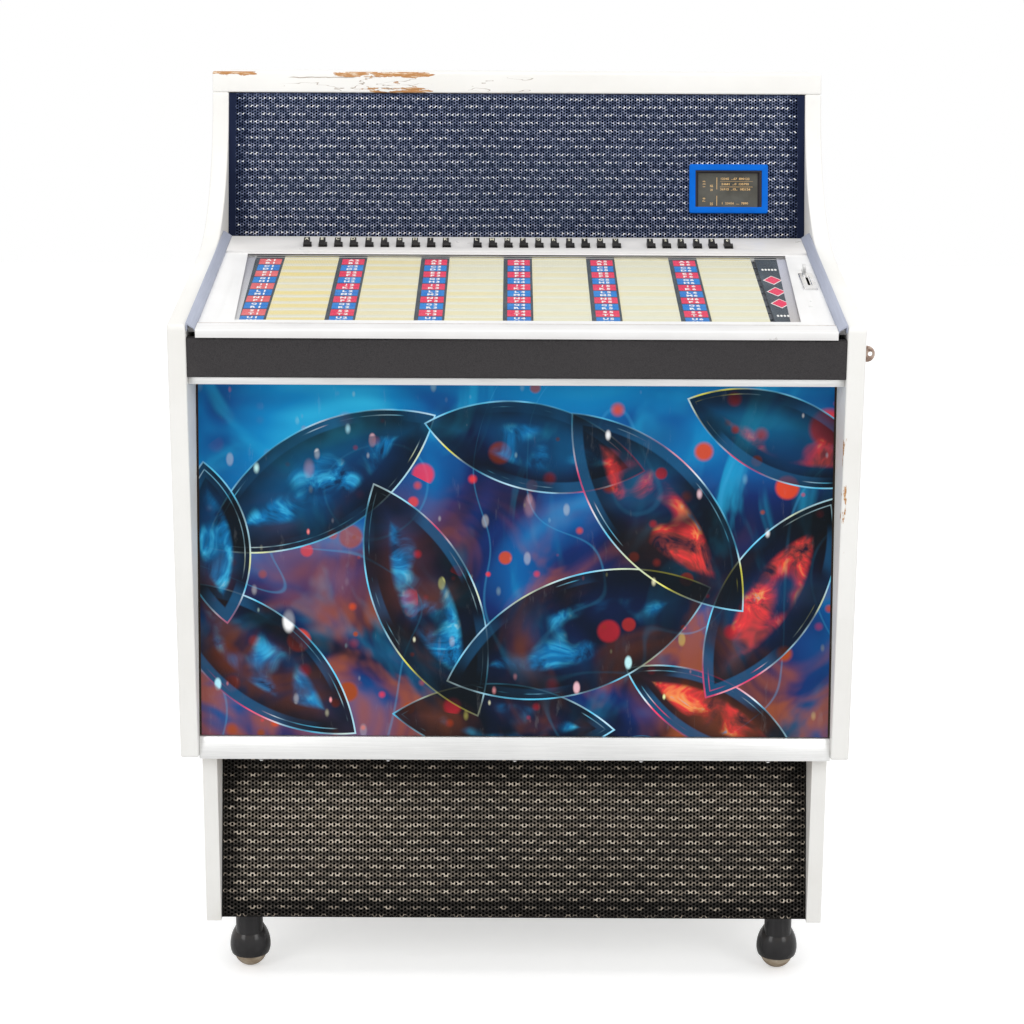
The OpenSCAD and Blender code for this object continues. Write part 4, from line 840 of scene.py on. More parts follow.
boxes("head_grille_lining",
      [((-INNER + 2, HEAD_LOW + 1, LINING_LOW), (INNER - 2, HEAD_HIGH - 1, LINING_HIGH))],
      head_frame, lining, "cabinet")
middle = Matrix.Translation((0, PLINTH_LOW + 1.0 + PLINTH_PITCH * PLINTH_ROWS / 2, 0))
grown("plinth_grille_sheet", punched_sheet, "cabinet", "brown_grille", plinth_frame @ middle,
      Columns=PLINTH_COLUMNS, Rows=PLINTH_ROWS, Pitch=PLINTH_PITCH, Hole=0.70, Thickness=SHEET_T,
      Finish=brown_sheet)
PLINTH_RIM = PLINTH_PITCH * math.sqrt(3) / 2 * PLINTH_COLUMNS / 2 - 1.4
rims = [((-PLINTH_HALF, PLINTH_LOW, ON_FOLD), (-PLINTH_RIM, PLINTH_HIGH, -0.2)),
        ((PLINTH_RIM, PLINTH_LOW, ON_FOLD), (PLINTH_HALF, PLINTH_HIGH, -0.2)),
        ((-PLINTH_RIM, PLINTH_LOW, ON_FOLD), (PLINTH_RIM, PLINTH_LOW + 2.4, ON_SHEET)),
        ((-PLINTH_RIM, PLINTH_HIGH - 5.0, ON_FOLD), (PLINTH_RIM, PLINTH_HIGH, ON_SHEET)),
        ((-PLINTH_HALF, PLINTH_LOW, -FOLD_IN), (-PLINTH_HALF + FOLD_T, PLINTH_HIGH, ON_FOLD)),
        ((PLINTH_HALF - FOLD_T, PLINTH_LOW, -FOLD_IN), (PLINTH_HALF, PLINTH_HIGH, ON_FOLD)),
        ((-PLINTH_HALF, PLINTH_LOW - 0.1, -FOLD_IN), (PLINTH_HALF, PLINTH_LOW + 1.1, ON_FOLD))]
rim = boxes("plinth_grille_rim", rims, plinth_frame, charcoal, "cabinet")
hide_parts("plinth_grille")
boxes("plinth_grille_lining",
      [((-PLINTH_HALF + 2, PLINTH_LOW + 2, LINING_LOW), (PLINTH_HALF - 2, PLINTH_HIGH - 1, LINING_HIGH))],
      plinth_frame, lining_brown, "cabinet")

# %% [markdown]
# ## The picture panel
# Under the lid is a large printed sheet behind clear film, lit from inside on the real
# object. The print here is a design of its own: glassy leaves that overlap on a deep blue
# ground, with red and orange drops and small sparks. It is drawn with arithmetic on the
# panel's own coordinates. A leaf is the space that two circles share, so its distance
# field needs only one length, and the same field gives the dark body, the lit core and
# the bright rim.

# %%  The drawing on the picture panel
PICTURE_HIGH = 0.4835
LEAVES = [  # middle x, middle z, half length, half width, turn in degrees
    (-0.015, 0.020, 0.150, 0.052, 4), (-0.345, 0.105, 0.165, 0.066, 38), (0.265, 0.035, 0.130, 0.046, 27),
    (-0.262, 0.345, 0.178, 0.072, -30), (0.358, 0.405, 0.140, 0.056, 22), (-0.120, 0.185, 0.172, 0.068, 66),
    (0.025, 0.392, 0.150, 0.058, 12), (0.342, 0.190, 0.160, 0.064, -58), (0.085, 0.140, 0.188, 0.078, -20),
    (0.190, 0.305, 0.176, 0.072, 49), (-0.402, 0.262, 0.110, 0.046, 82)]


def leaf_distance(tree, where, x, z, half_long, half_wide, degrees):
    """Metres outside a leaf's outline, less than 0 inside it."""
    local = knot(tree, "ShaderNodeMapping", {
        "Vector": where, "Location": (x, 0, z), "Rotation": (0, math.radians(degrees), 0)},
        vector_type="TEXTURE").outputs[0]
    along, _, across = axes(tree, local)[:3]
    circle = (half_long ** 2 + half_wide ** 2) / (2 * half_wide)
    reach = sums(tree, "ADD", sums(tree, "ABSOLUTE", across), circle - half_wide)
    spoke = knot(tree, "ShaderNodeCombineXYZ", {0: along, 2: reach}).outputs[0]
    return sums(tree, "SUBTRACT", length_of(tree, spoke), circle)


def drops(tree, where, scale, size, rare):
    """Round drops scattered without a grid. Returns their mask and each one's own colour."""
    cells = knot(tree, "ShaderNodeTexVoronoi", {"Vector": where, "Scale": scale, "Randomness": 0.9})
    own = axes(tree, cells.outputs["Color"])
    wide = sums(tree, "MULTIPLY_ADD", own[1], size * 0.7, size * 0.3)
    gone = sums(tree, "SUBTRACT", cells.outputs["Distance"], wide)
    return sums(tree, "MULTIPLY", rise(tree, gone, 0.05, -0.05), rise(tree, own[0], rare, rare + 0.02)), own


def picture_finish():
    """The whole print: ground, drops, leaves, sparks and wear, one laid over the other."""
    material, tree, shader = new_finish("picture_print", Specular_IOR_Level=0.10)
    where = place_on(tree, picture_frame.to_translation(), (-math.radians(PICTURE_LEAN), 0, 0))
    x, _, z = axes(tree, where)[:3]
    # the ground: light from above left, dusk and brown murk below
    cloud = noise(tree, where, 3.4, 2.0, 0.5, (1.0, 1.0, 1.3), 1.2)
    height = sums(tree, "MULTIPLY", z, 1.0 / PICTURE_HIGH)
    light = sums(tree, "ADD", sums(tree, "MULTIPLY", sums(tree, "SUBTRACT", cloud, 0.5), 1.5), sums(
        tree, "MULTIPLY_ADD", height, 0.42, 0.20))
    colour = ramp(tree, light, (0.10, (0.003, 0.007, 0.020)), (0.30, (0.006, 0.024, 0.130)), (
        0.48, (0.004, 0.100, 0.330)), (0.66, (0.004, 0.230, 0.540)), (0.88, (0.030, 0.500, 0.800)))
    beams = noise(tree, where, 5.5, 3.0, 0.55, (1.0, 1.0, 0.6), 2.2)
    colour = blend_in(tree, sums(tree, "MULTIPLY", rise(tree, beams, 0.50, 0.72), sums(
        tree, "MULTIPLY_ADD", height, 0.60, 0.10)), colour, (0.020, 0.480, 0.800))
    murk = sums(tree, "MULTIPLY", rise(tree, noise(tree, where, 6.5, 3.0, 0.6, None, 1.0), 0.42, 0.64),
                rise(tree, height, 0.80, 0.25))
    colour = blend_in(tree, sums(tree, "MULTIPLY", murk, 0.80), colour, (0.340, 0.085, 0.028))
    threads = noise(tree, where, 2.4, 0.0, 0.5, None, 2.0)
    threads = sums(tree, "ABSOLUTE", sums(tree, "SUBTRACT", threads, 0.5))
    colour = blend_in(tree, sums(tree, "MULTIPLY", rise(tree, threads, 0.0070, 0.0005), 0.22), colour,
                      (0.06, 0.45, 0.80))
    # red and orange drops, thicker to the right and low down
    for scale, size, rare, strong in (
            (11.0, 0.30, 0.50, 0.85), (19.0, 0.32, 0.34, 0.95), (30.0, 0.30, 0.55, 0.9)):
        mask, own = drops(tree, where, scale, size, rare)
        spread = rise(tree, sums(tree, "ADD", sums(tree, "MULTIPLY", x, 1.1), sums(
            tree, "MULTIPLY", height, -0.55)), -0.95, -0.35)
        ember = ramp(tree, own[2], (0.1, (0.26, 0.060, 0.010)), (0.45, (0.72, 0.075, 0.018)), (
            0.8, (0.92, 0.035, 0.060)))
        weight = sums(tree, "MULTIPLY", sums(tree, "MULTIPLY", mask, strong), spread)
        colour = blend_in(tree, weight, colour, ember)
    # the leaves, one over the other
    hue = noise(tree, where, 7.0, 1.0)
    rim_colour = ramp(tree, hue, (0.34, (0.90, 0.85, 0.12)), (0.40, (0.55, 0.75, 0.80)), (
        0.50, (0.10, 0.62, 0.95)), (0.58, (0.75, 0.90, 0.98)), (0.66, (0.90, 0.06, 0.16)))
    body_wave = noise(tree, where, 9.0, 3.0, 0.6)
    rim_wave = noise(tree, where, 11.0, 2.0, 0.6)
    mottle = noise(tree, where, 19.0, 3.0, 0.6, None, 1.5)
    cool = ramp(tree, mottle, (0.34, (0.003, 0.030, 0.090)), (0.50, (0.006, 0.190, 0.470)), (
        0.64, (0.050, 0.520, 0.860)), (0.74, (0.45, 0.85, 0.98)))
    warm = ramp(tree, mottle, (0.34, (0.020, 0.012, 0.030)), (0.46, (0.300, 0.045, 0.040)), (
        0.58, (0.900, 0.050, 0.050)), (0.68, (1.0, 0.34, 0.10)), (0.76, (0.20, 0.45, 0.78)))
    nearest = 1.0
    for leaf in LEAVES:
        away = leaf_distance(tree, where, *leaf)
        half_wide = leaf[3]
        dense = sums(tree, "MULTIPLY_ADD", rise(tree, away, -0.75 * half_wide, -0.15 * half_wide), 0.26, 0.38)
        body = sums(tree, "MULTIPLY", rise(tree, away, 0.0005, -0.0008), sums(
            tree, "MULTIPLY_ADD", body_wave, 0.5, dense))
        colour = blend_in(tree, body, colour, (0.003, 0.006, 0.009))
        core = sums(tree, "MULTIPLY", rise(tree, away, -0.46 * half_wide, -0.62 * half_wide),
                    rise(tree, noise(tree, where, 8.0 + 40 * half_wide, 2.0), 0.44, 0.60))
        core_colour = cool if leaf[0] < 0.1 else warm
        colour = blend_in(tree, sums(tree, "MULTIPLY", core, 0.88), colour, core_colour)
        halo = sums(tree, "MULTIPLY", within(tree, away, -0.0130, -0.0010, 0.003),
                    rise(tree, hue, 0.46, 0.62))
        colour = blend_in(tree, sums(tree, "MULTIPLY", halo, 0.38), colour, (0.02, 0.17, 0.40))
        inner_rim = sums(tree, "MULTIPLY", within(tree, away, -0.0078, -0.0070, 0.0006), rise(
            tree, body_wave, 0.50, 0.60))
        rim = sums(tree, "MAXIMUM", within(tree, away, -0.0010, 0.0004, 0.0007), sums(
            tree, "MULTIPLY", inner_rim, 0.6))
        colour = blend_in(tree, sums(tree, "MULTIPLY", rim, sums(
            tree, "MULTIPLY_ADD", rise(tree, rim_wave, 0.40, 0.62), 0.80, 0.18)), colour, rim_colour)
        nearest = sums(tree, "MINIMUM", nearest, away)
    # sparks, mostly near the rims
    for scale, size, rare, tilt in ((21.0, 0.20, 0.40, 35.0), (40.0, 0.22, 0.30, -25.0)):
        leaning = knot(tree, "ShaderNodeMapping", {
            "Vector": where, "Rotation": (0, math.radians(tilt), 0), "Scale": (1.0, 1.0, 0.55)}).outputs[0]
        mask, own = drops(tree, leaning, scale, size, rare)
        spark = ramp(tree, own[2], (0.3, (1.0, 1.0, 1.0)), (0.5, (1.0, 0.95, 0.20)), (
            0.7, (0.45, 0.85, 1.0)), (0.9, (1.0, 0.25, 0.25)))
        near = within(tree, nearest, -0.032, -0.002, 0.004)
        colour = blend_in(tree, sums(tree, "MULTIPLY", mask, sums(tree, "MULTIPLY_ADD", near, 0.78, 0.22)),
                          colour, spark)
    # the sheet's dark edges, left and right, and fine wear in the film
    edge = rise(tree, sums(tree, "ABSOLUTE", x), 0.4226, 0.4232)
    colour = blend_in(tree, edge, colour, (0.030, 0.020, 0.014))
    scuff = rise(tree, noise(tree, where, 55.0, 5.0, 0.65, (1.0, 1.0, 0.25)), 0.60, 0.72)
    colour = blend_in(tree, sums(tree, "MULTIPLY", scuff, 0.06), colour, (0.55, 0.58, 0.60))
    gloss = ramp(tree, noise(tree, where, 24.0, 5.0, 0.6, (1.0, 1.0, 0.3)), (0.3, 0.14), (0.7, 0.30))
    lead(tree, shader, Base_Color=colour, Roughness=gloss)
    return material


dressed("picture_panel", picture_finish())

# %% [markdown]
# ## The title window
# Under the glass lie six columns. Each has a dark bar with ten red or blue labels, two
# selection codes to a label, and next to it the cream cards for the titles, held by thin
# ribs. The cards are blank here. Their repeat is a small rule: a grid of points, one card
# for each, and a random tone for every card, kept as an attribute that the finish reads.

# %%  Lettering
GLYPHS = {}


def glyph(text, weight=0.0):
    """A flat mesh of a short text about its middle, with its capitals 1 high."""
    if (text, weight) not in GLYPHS:
        curve = bpy.data.curves.new("glyph", "FONT")
        curve.body = text
        curve.offset = weight
        curve.resolution_u = 2
        holder = bpy.data.objects.new("glyph", curve)
        bpy.context.scene.collection.objects.link(holder)
        bpy.context.view_layer.update()
        mesh = bpy.data.meshes.new_from_object(holder.evaluated_get(bpy.context.evaluated_depsgraph_get()))
        bpy.data.objects.remove(holder)
        xs = [v.co.x for v in mesh.vertices]
        ys = [v.co.y for v in mesh.vertices]
        mesh.transform(Matrix.Scale(1 / (max(ys) - min(ys)), 4) @ Matrix.Translation(
            (-(min(xs) + max(xs)) / 2, -(min(ys) + max(ys)) / 2, 0)))
        GLYPHS[text, weight] = mesh
    return GLYPHS[text, weight]


def lettering(name, items, frame_matrix, material, body, weight=0.0):
    """One piece of many short texts, each (text, x, y, off the surface, height, width share, turn)."""
    shape = bmesh.new()
    for text, x, y, off, high, wide, turn in items:
        mesh = glyph(text, weight).copy()
        mesh.transform(frame_matrix @ Matrix.Translation((x, y, off)) @ Matrix.Rotation(
            math.radians(turn), 4, "Z") @ Matrix.Diagonal((high * wide, high, high, 1)))
        shape.from_mesh(mesh)
        bpy.data.meshes.remove(mesh)
    mesh = bpy.data.meshes.new(name)
    shape.to_mesh(mesh)
    shape.free()
    mesh.materials.append(material)
    return keep(bpy.data.objects.new(name, mesh), body)


def plate_into(shape, outline, low, high, frame_matrix):
    """Adds an upright plate with a flat outline, drawn in a sloping frame."""
    rings = [[shape.verts.new(frame_matrix @ Vector((x, y, h))) for x, y in outline] for h in (low, high)]
    shape.faces.new(rings[0][::-1])
    shape.faces.new(rings[1])
    for i in range(len(outline)):
        j = (i + 1) % len(outline)
        shape.faces.new((rings[0][i], rings[0][j], rings[1][j], rings[1][i]))


def plates(name, outlines, low, high, frame_matrix, material, body):
    """One piece of several flat plates of one thickness, each given by its outline."""
    shape = bmesh.new()
    for outline in outlines:
        plate_into(shape, outline, low, high, frame_matrix)
    return from_bmesh(name, shape, material, body)


# %%  Finishes in the window
def printed_finish(name, colour, faded, rough=0.45):
    """Printed card: flat colour, faded in patches."""
    material, tree, shader = new_finish(name, Specular_IOR_Level=0.2)
    where = place_on(tree)
    patchy = noise(tree, where, 30.0, 4.0)
    lead(tree, shader, Base_Color=ramp(tree, patchy, (0.35, colour), (0.68, faded)),
         Roughness=ramp(tree, patchy, (0.3, rough), (0.7, rough + 0.12)))
    return material


def cream_card_finish():
    """Cards behind clear strips: yellowed along their upper edges and at the left columns."""
    material, tree, shader = new_finish("cream_cards", Specular_IOR_Level=0.15)
    where = on_lid(tree)
    x, s = axes(tree, where)[:2]
    tone = knot(tree, "ShaderNodeAttribute", attribute_name="tone").outputs["Fac"]
    foot = (LABEL_TOP - ROWS * LABEL_PITCH) * MM
    row = sums(tree, "FRACT", sums(tree, "MULTIPLY", sums(tree, "SUBTRACT", s, foot),
                                   1.0 / (LABEL_PITCH * MM)))
    drift = sums(tree, "MULTIPLY_ADD", noise(tree, where, 14.0, 3.0), 0.30, -0.15)
    band = sums(tree, "ADD", row, drift)
    yellow = sums(tree, "MULTIPLY", within(tree, band, 0.42, 0.72, 0.26), sums(
        tree, "MULTIPLY_ADD", tone, 0.45, 0.30))
    age = rise(tree, x, 0.10, -0.36)
    yellow = sums(tree, "MULTIPLY", yellow, sums(tree, "MULTIPLY_ADD", age, 0.75, 0.45))
    first = (RACK_X0 + BAR_RIGHT) * MM
    column = sums(tree, "FRACT", sums(tree, "MULTIPLY", sums(tree, "SUBTRACT", x, first),
                                      1.0 / (COLUMN_PITCH * MM)))
    ends = rise(tree, column, 0.05, 0.0)
    pale = blend_in(tree, age, (0.74, 0.74, 0.60), (0.71, 0.69, 0.56))
    colour = blend_in(tree, yellow, pale, (0.80, 0.66, 0.235))
    colour = blend_in(tree, sums(tree, "MULTIPLY", ends, 0.35), colour, (0.80, 0.70, 0.38))
    card_edge = rise(tree, sums(tree, "ABSOLUTE", sums(tree, "SUBTRACT", row, 0.5)), 0.45, 0.485)
    colour = blend_in(tree, sums(tree, "MULTIPLY", card_edge, 0.6), colour, (0.86, 0.85, 0.80))
    grooves = knot(tree, "ShaderNodeTexWave", {"Vector": where, "Scale": 140.0, "Distortion": 0.3},
                   bands_direction="X").outputs["Fac"]
    strands = sums(tree, "MULTIPLY", grooves, sums(
        tree, "MULTIPLY_ADD", rise(tree, s, 0.20, 0.32), 0.26, 0.08))
    colour = blend_in(tree, strands, colour, (0.42, 0.40, 0.32))
    lead(tree, shader, Base_Color=colour)
    shader.inputs["Roughness"].default_value = 0.45
    return material


def rear_lit_finish(name, rear, front):
    """Grey inner strip beside the labels, with painted light and shade that run from its front colour to its
    rear colour, and fine streaks.
    """
    material, tree, shader = new_finish(name, Metallic=0.2)
    where = on_lid(tree)
    s = axes(tree, where)[1]
    streaks = noise(tree, where, 260.0, 3.0, 0.6, (1.0, 0.06, 1.0))
    along = sums(tree, "ADD", sums(tree, "MULTIPLY", s, 3.0), sums(tree, "MULTIPLY_ADD", streaks, 0.3, -0.15))
    lead(tree, shader, Base_Color=ramp(tree, along, (0.08, front), (0.92, rear)))
    shader.inputs["Roughness"].default_value = 0.42
    return material


def window_glass_finish():
    """Thin clear glass with a faint film of dust."""
    material, tree, shader = new_finish("clear_glass", Specular_IOR_Level=0.35)
    where = place_on(tree)
    film = noise(tree, where, 26.0, 6.0, 0.65)
    shader.inputs["Base Color"].default_value = (0.86, 0.88, 0.90, 1.0)
    lead(tree, shader, Alpha=ramp(tree, film, (0.35, 0.01), (0.75, 0.04)),
         Roughness=ramp(tree, film, (0.35, 0.03), (0.75, 0.16)))
    return material


# %%  Cards, bars, labels and codes
RACK_X0, COLUMN_PITCH, COLUMNS = -357.9, 117.0, 6
BAR_LEFT, LABEL_LEFT, LABEL_RIGHT, BAR_RIGHT = -11.2, -5.6, 25.7, 28.8   # in a column, from its place
LABEL_TOP, LABEL_PITCH, LABEL_LONG, ROWS = 321.9, 27.55, 24.2, 10
WINDOW_HALF, WINDOW_FRONT, WINDOW_REAR = 382.5, 43.0, 329.99
CARD_TOP, BAR_TOP, LABEL_FACE = -7.85, -7.55, -7.25        # off the lid's slope
CARD_T = 1.4
BAR_FRONT, BAR_REAR = 44.0, 329.6
LETTERS = "ABCDEFGHJKLMNPQRSTUV"
columns = [RACK_X0 + c * COLUMN_PITCH for c in range(COLUMNS)]
rows = [LABEL_TOP - LABEL_PITCH * r for r in range(ROWS)]


def card_rule():
    """A grid of cards. Every card gets a random tone from 0 to 1."""
    tree, given, end = new_rule("title_cards", Columns=("Int", 6), Rows=("Int", 10), Step=("Vector", None),
                                Card=("Vector", None), Seed=("Int", 3), Finish=("Material", None))
    step = knot(tree, "ShaderNodeSeparateXYZ", {0: given["Step"]}).outputs

    def span(count, pitch):
        return sums(tree, "MULTIPLY", pitch, sums(tree, "SUBTRACT", count, 1.0))

    places = knot(tree, "GeometryNodeMeshGrid", {
        "Size X": span(given["Columns"], step[0]), "Size Y": span(given["Rows"], step[1]),
        "Vertices X": given["Columns"], "Vertices Y": given["Rows"]}).outputs[0]
    card = knot(tree, "GeometryNodeMeshCube", {"Size": given["Card"]}).outputs[0]
    laid = knot(tree, "GeometryNodeInstanceOnPoints", {"Points": places, "Instance": card}).outputs[0]
    chance = knot(tree, "FunctionNodeRandomValue", {"Seed": given["Seed"]}, data_type="FLOAT").outputs[1]
    marked = knot(tree, "GeometryNodeStoreNamedAttribute", {
        "Geometry": laid, "Name": "tone", "Value": chance}, data_type="FLOAT", domain="INSTANCE").outputs[0]
    close_rule(tree, marked, given["Finish"], end)
    return tree


card_wide = COLUMN_PITCH + BAR_LEFT - BAR_RIGHT - 0.2
card_middle = Vector((columns[0] + BAR_RIGHT + card_wide / 2 + (COLUMNS - 1) * COLUMN_PITCH / 2,
                      rows[0] - LABEL_PITCH * (ROWS - 1) / 2 - LABEL_LONG / 2, CARD_TOP - CARD_T / 2))
grown("title_cards", card_rule(), "lid", "rack_plastic", lid_frame @ Matrix.Translation(card_middle),
      Columns=COLUMNS, Rows=ROWS, Step=(COLUMN_PITCH, LABEL_PITCH, 0.0),
      Card=(card_wide, LABEL_PITCH - 0.35, CARD_T), Finish=cream_card_finish())
cream_edge = printed_finish("cream_edge", (0.80, 0.76, 0.52), (0.76, 0.70, 0.42))
LEDGE_FRONT, LEDGE_REAR, LEDGE_LOW, LEDGE_TOP = 330.1, 334.4, -6.98, -6.92    # behind the window's rear edge
heads = [(rows[0] + 1.8, BAR_REAR, CARD_TOP - CARD_T, CARD_TOP),
         (LEDGE_FRONT, LEDGE_REAR, LEDGE_LOW, LEDGE_TOP)]
boxes("title_card_heads", [((x + BAR_RIGHT, near, low), (x + BAR_RIGHT + card_wide, far, top))
                           for x in columns for near, far, low, top in heads],
      lid_frame, cream_edge, "lid")

slate = printed_finish("slate_print", (0.030, 0.042, 0.055), (0.058, 0.075, 0.095), 0.5)
STRIP_LEFT, STRIP_RIGHT = 338.3, 369.9
bars = [(x + BAR_LEFT, x + BAR_RIGHT) for x in columns] + [(STRIP_LEFT, STRIP_RIGHT)]
boxes("label_bars", [((low, BAR_FRONT, CARD_TOP - 0.1), (high, BAR_REAR, BAR_TOP)) for low, high in bars] + [
    ((low, LEDGE_FRONT, LEDGE_LOW), (high, LEDGE_REAR, LEDGE_TOP)) for low, high in bars],
      lid_frame, slate, "lid")
dressed("title_rack", dark_slate)

half_label = LABEL_LONG / 2 - 0.35
label_red = printed_finish("label_red", (0.70, 0.022, 0.085), (0.76, 0.045, 0.120))
label_faded = printed_finish("label_salmon", (0.66, 0.085, 0.105), (0.74, 0.160, 0.170))
label_blue = printed_finish("label_blue", (0.004, 0.160, 0.540), (0.012, 0.225, 0.630))
lots = {"labels_red": (label_red, columns[1:], 0), "labels_salmon": (label_faded, columns[:1], 0),
        "labels_blue": (label_blue, columns, 1)}
for name, (finish, where, first) in lots.items():
    feet = [top - LABEL_LONG + part * (LABEL_LONG - half_label) for top in rows[first::2] for part in (0, 1)]
    boxes(name, [((x + LABEL_LEFT, foot, BAR_TOP), (x + LABEL_RIGHT, foot + half_label, LABEL_FACE))
                 for x in where for foot in feet], lid_frame, finish, "lid")

white_ink = printed_finish("white_ink", (0.88, 0.87, 0.84), (0.80, 0.80, 0.78))
codes = []
for number, x in enumerate(columns, 1):
    for row, top in enumerate(rows):
        for line in (0, 1):
            middle = top - half_label / 2 - line * (half_label + 0.7)
            codes.append((LETTERS[2 * row + line], x + 7.0, middle, LABEL_FACE + 0.12, 8.2, 1.05, 0))
            codes.append((str(number), x + 15.4, middle, LABEL_FACE + 0.12, 8.2, 1.05, 0))
lettering("selection_codes", codes, lid_frame, white_ink, "lid", weight=0.045)
print("codes:", len(codes) // 2)

# %% The dark strip on the right, liners with painted light, a seal with painted shade, and glass
def lozenge(x, s, half_wide, half_long):
    """Outline of a lozenge about a point of the lid."""
    return [(x, s + half_long), (x + half_wide, s), (x, s - half_long), (x - half_wide, s)]


middle_x = (STRIP_LEFT + STRIP_RIGHT) / 2
LOZENGES_AT = (235, 185, 135)              # up the lid's slope
lozenges = [lozenge(middle_x, s, 11.5, 17) for s in LOZENGES_AT]
borders = [lozenge(middle_x, s, 13.4, 19.8) for s in LOZENGES_AT]
plates("lozenge_borders", borders, BAR_TOP, BAR_TOP + 0.15, lid_frame, white_ink, "lid")
plates("lozenges", lozenges, BAR_TOP + 0.15, BAR_TOP + 0.3, lid_frame, label_red, "lid")
eighths = [a * math.pi / 4 for a in range(8)]
dots = [[(middle_x + dx + 1.7 * math.cos(a), s + 4.2 * math.sin(a)) for a in eighths]
        for s in (282, 84) for dx in (-9.0, -4.5, 0.0, 4.5, 9.0)]
plates("strip_dots", dots, BAR_TOP, BAR_TOP + 0.2, lid_frame, white_ink, "lid")

# painted light and shade of the window's inner side faces, drawn flat: the left liner darkens towards the
# rear, the right one turns lighter and bluer
left_liner = rear_lit_finish("left_liner", (0.42, 0.42, 0.47), (0.72, 0.72, 0.72))
right_liner = rear_lit_finish("right_liner", (0.56, 0.57, 0.66), (0.48, 0.45, 0.43))
LINER_OUT, LINER_TOP = WINDOW_HALF + 1, -7.1
plates("window_liner_left",
       [[(-LINER_OUT, BAR_FRONT), (-363.5, BAR_FRONT), (-370.5, BAR_REAR), (-LINER_OUT, BAR_REAR)]],
       BAR_TOP, LINER_TOP, lid_frame, left_liner, "lid")
plates("window_liner_right",
       [[(358.2, BAR_FRONT), (LINER_OUT, BAR_FRONT), (LINER_OUT, BAR_REAR), (STRIP_RIGHT, BAR_REAR)]],
       BAR_TOP, LINER_TOP, lid_frame, right_liner, "lid")
seal_and_shade = moulded_finish("seal_and_shade", (0.020, 0.018, 0.020), 0.7, sheen=0.1)
RIM = 6.0                # how far the glass runs on under the frame
COVER_LOW, COVER_HIGH = -3.28, -2.92
out, near, far = WINDOW_HALF + RIM + 0.1, WINDOW_FRONT - RIM - 0.1, WINDOW_REAR + RIM + 0.1
EDGE_FRONT, EDGE_REAR = 46.3, 330.9        # where the glass shows between the covers
# a dark seal along the window's rear edge, which also stands for the painted shade under that edge
boxes("window_seal_and_shade", [((-out + 6.5, 329.0, COVER_LOW), (out - 6.5, EDGE_REAR, -2.6))],
      lid_frame, seal_and_shade, "lid")
# the frame's inner edge: a strip in front and behind, and a wedge at each side
covers = [[(-out, near), (out, near), (out, EDGE_FRONT), (-out, EDGE_FRONT)],
          [(-out, EDGE_REAR), (out, EDGE_REAR), (out, far), (-out, far)],
          [(-out, EDGE_FRONT), (-368.0, EDGE_FRONT), (-382.0, EDGE_REAR), (-out, EDGE_REAR)],
          [(out, EDGE_FRONT), (out, EDGE_REAR), (382.0, EDGE_REAR), (370.6, EDGE_FRONT)]]
plates("window_edges", covers, COVER_LOW, COVER_HIGH, lid_frame, enamel, "lid")
boxes("bar_seam", [((-413.0, 24.6, -0.02), (413.0, 25.5, 0.05))], lid_frame, browned, "lid")
dressed("title_glass", window_glass_finish())

# %% [markdown]
# ## Keys, display and coin entry
# Each key is a small black cap whose top slopes down to the front, with a step on its
# right. Its letter or number stands at the rear of the slope. The caps are the solids with
# softened edges; the legends are thin letter meshes, which stay sharp at any distance and
# ride on their keys. The display is a blue frame round a dark recess with a smoked plate,
# on which faint amber figures stand in rows.

# %%  Keys and their legends
KEY_S, KEY_FRONT_UP, KEY_REAR_UP, KEY_RUN = 356.989, 4.2, 8.0, 19.8
key_slope = math.atan((KEY_REAR_UP - KEY_FRONT_UP) / KEY_RUN)
key_ink = printed_finish("key_legend", (0.80, 0.78, 0.64), (0.66, 0.64, 0.50))
keys = sorted(name for name in nodes if name.startswith("key_"))
for name in keys:
    softened(name, "cap_" + name[-1], key_black, name, 0.6, 2, 30.0, False)
    across = [c.x / MM for c in box_corners(name)]
    middle = (min(across) + max(across)) / 2
    top = lid_frame @ Matrix.Translation((middle - 1.6, KEY_S + 1.2, KEY_FRONT_UP)) @ Matrix.Rotation(
        key_slope, 4, "X")
    lettering("legend_" + name[-1], [(name[-1], 0, 15.6, 0.12, 7.2, 0.78, 0)], top, key_ink, name,
              weight=0.02)
print("keys:", len(keys))

# %%  The display
BEZEL_X, BEZEL_UP = 313.0, 84.0            # the display's middle, in the head's frame
display = head_frame @ Matrix.Translation((BEZEL_X, BEZEL_UP, 0))
softened("display_window", "display_bezel", bezel_blue, "cabinet", 0.7, 2)
recess = moulded_finish("display_recess", (0.045, 0.040, 0.045), 0.5, sheen=0.1)
smoked = printed_finish("smoked_plate", (0.068, 0.066, 0.055), (0.120, 0.118, 0.102), 0.35)
amber = printed_finish("amber_ink", (0.72, 0.46, 0.20), (0.55, 0.38, 0.20))
FLOOR_UP, PLATE_UP = 2.6, 3.0              # the recess's floor and the smoked plate, off the slope
INK_T = 0.12                               # printed lines stand this proud of the plate
boxes("display_recess", [((-48.6, -26.6, 2.05), (48.6, 26.6, FLOOR_UP)),
                         ((-48.8, 24.4, FLOOR_UP), (48.8, 26.8, 6.6)),
                         ((-48.8, -26.8, FLOOR_UP), (-46.6, 24.4, 6.0)),
                         ((45.6, -26.8, FLOOR_UP), (48.8, 24.4, 6.6))],
      display, recess, "cabinet")
boxes("display_plate", [((-44.6, -26.4, FLOOR_UP), (43.0, 23.4, PLATE_UP))],
      display, smoked, "cabinet")
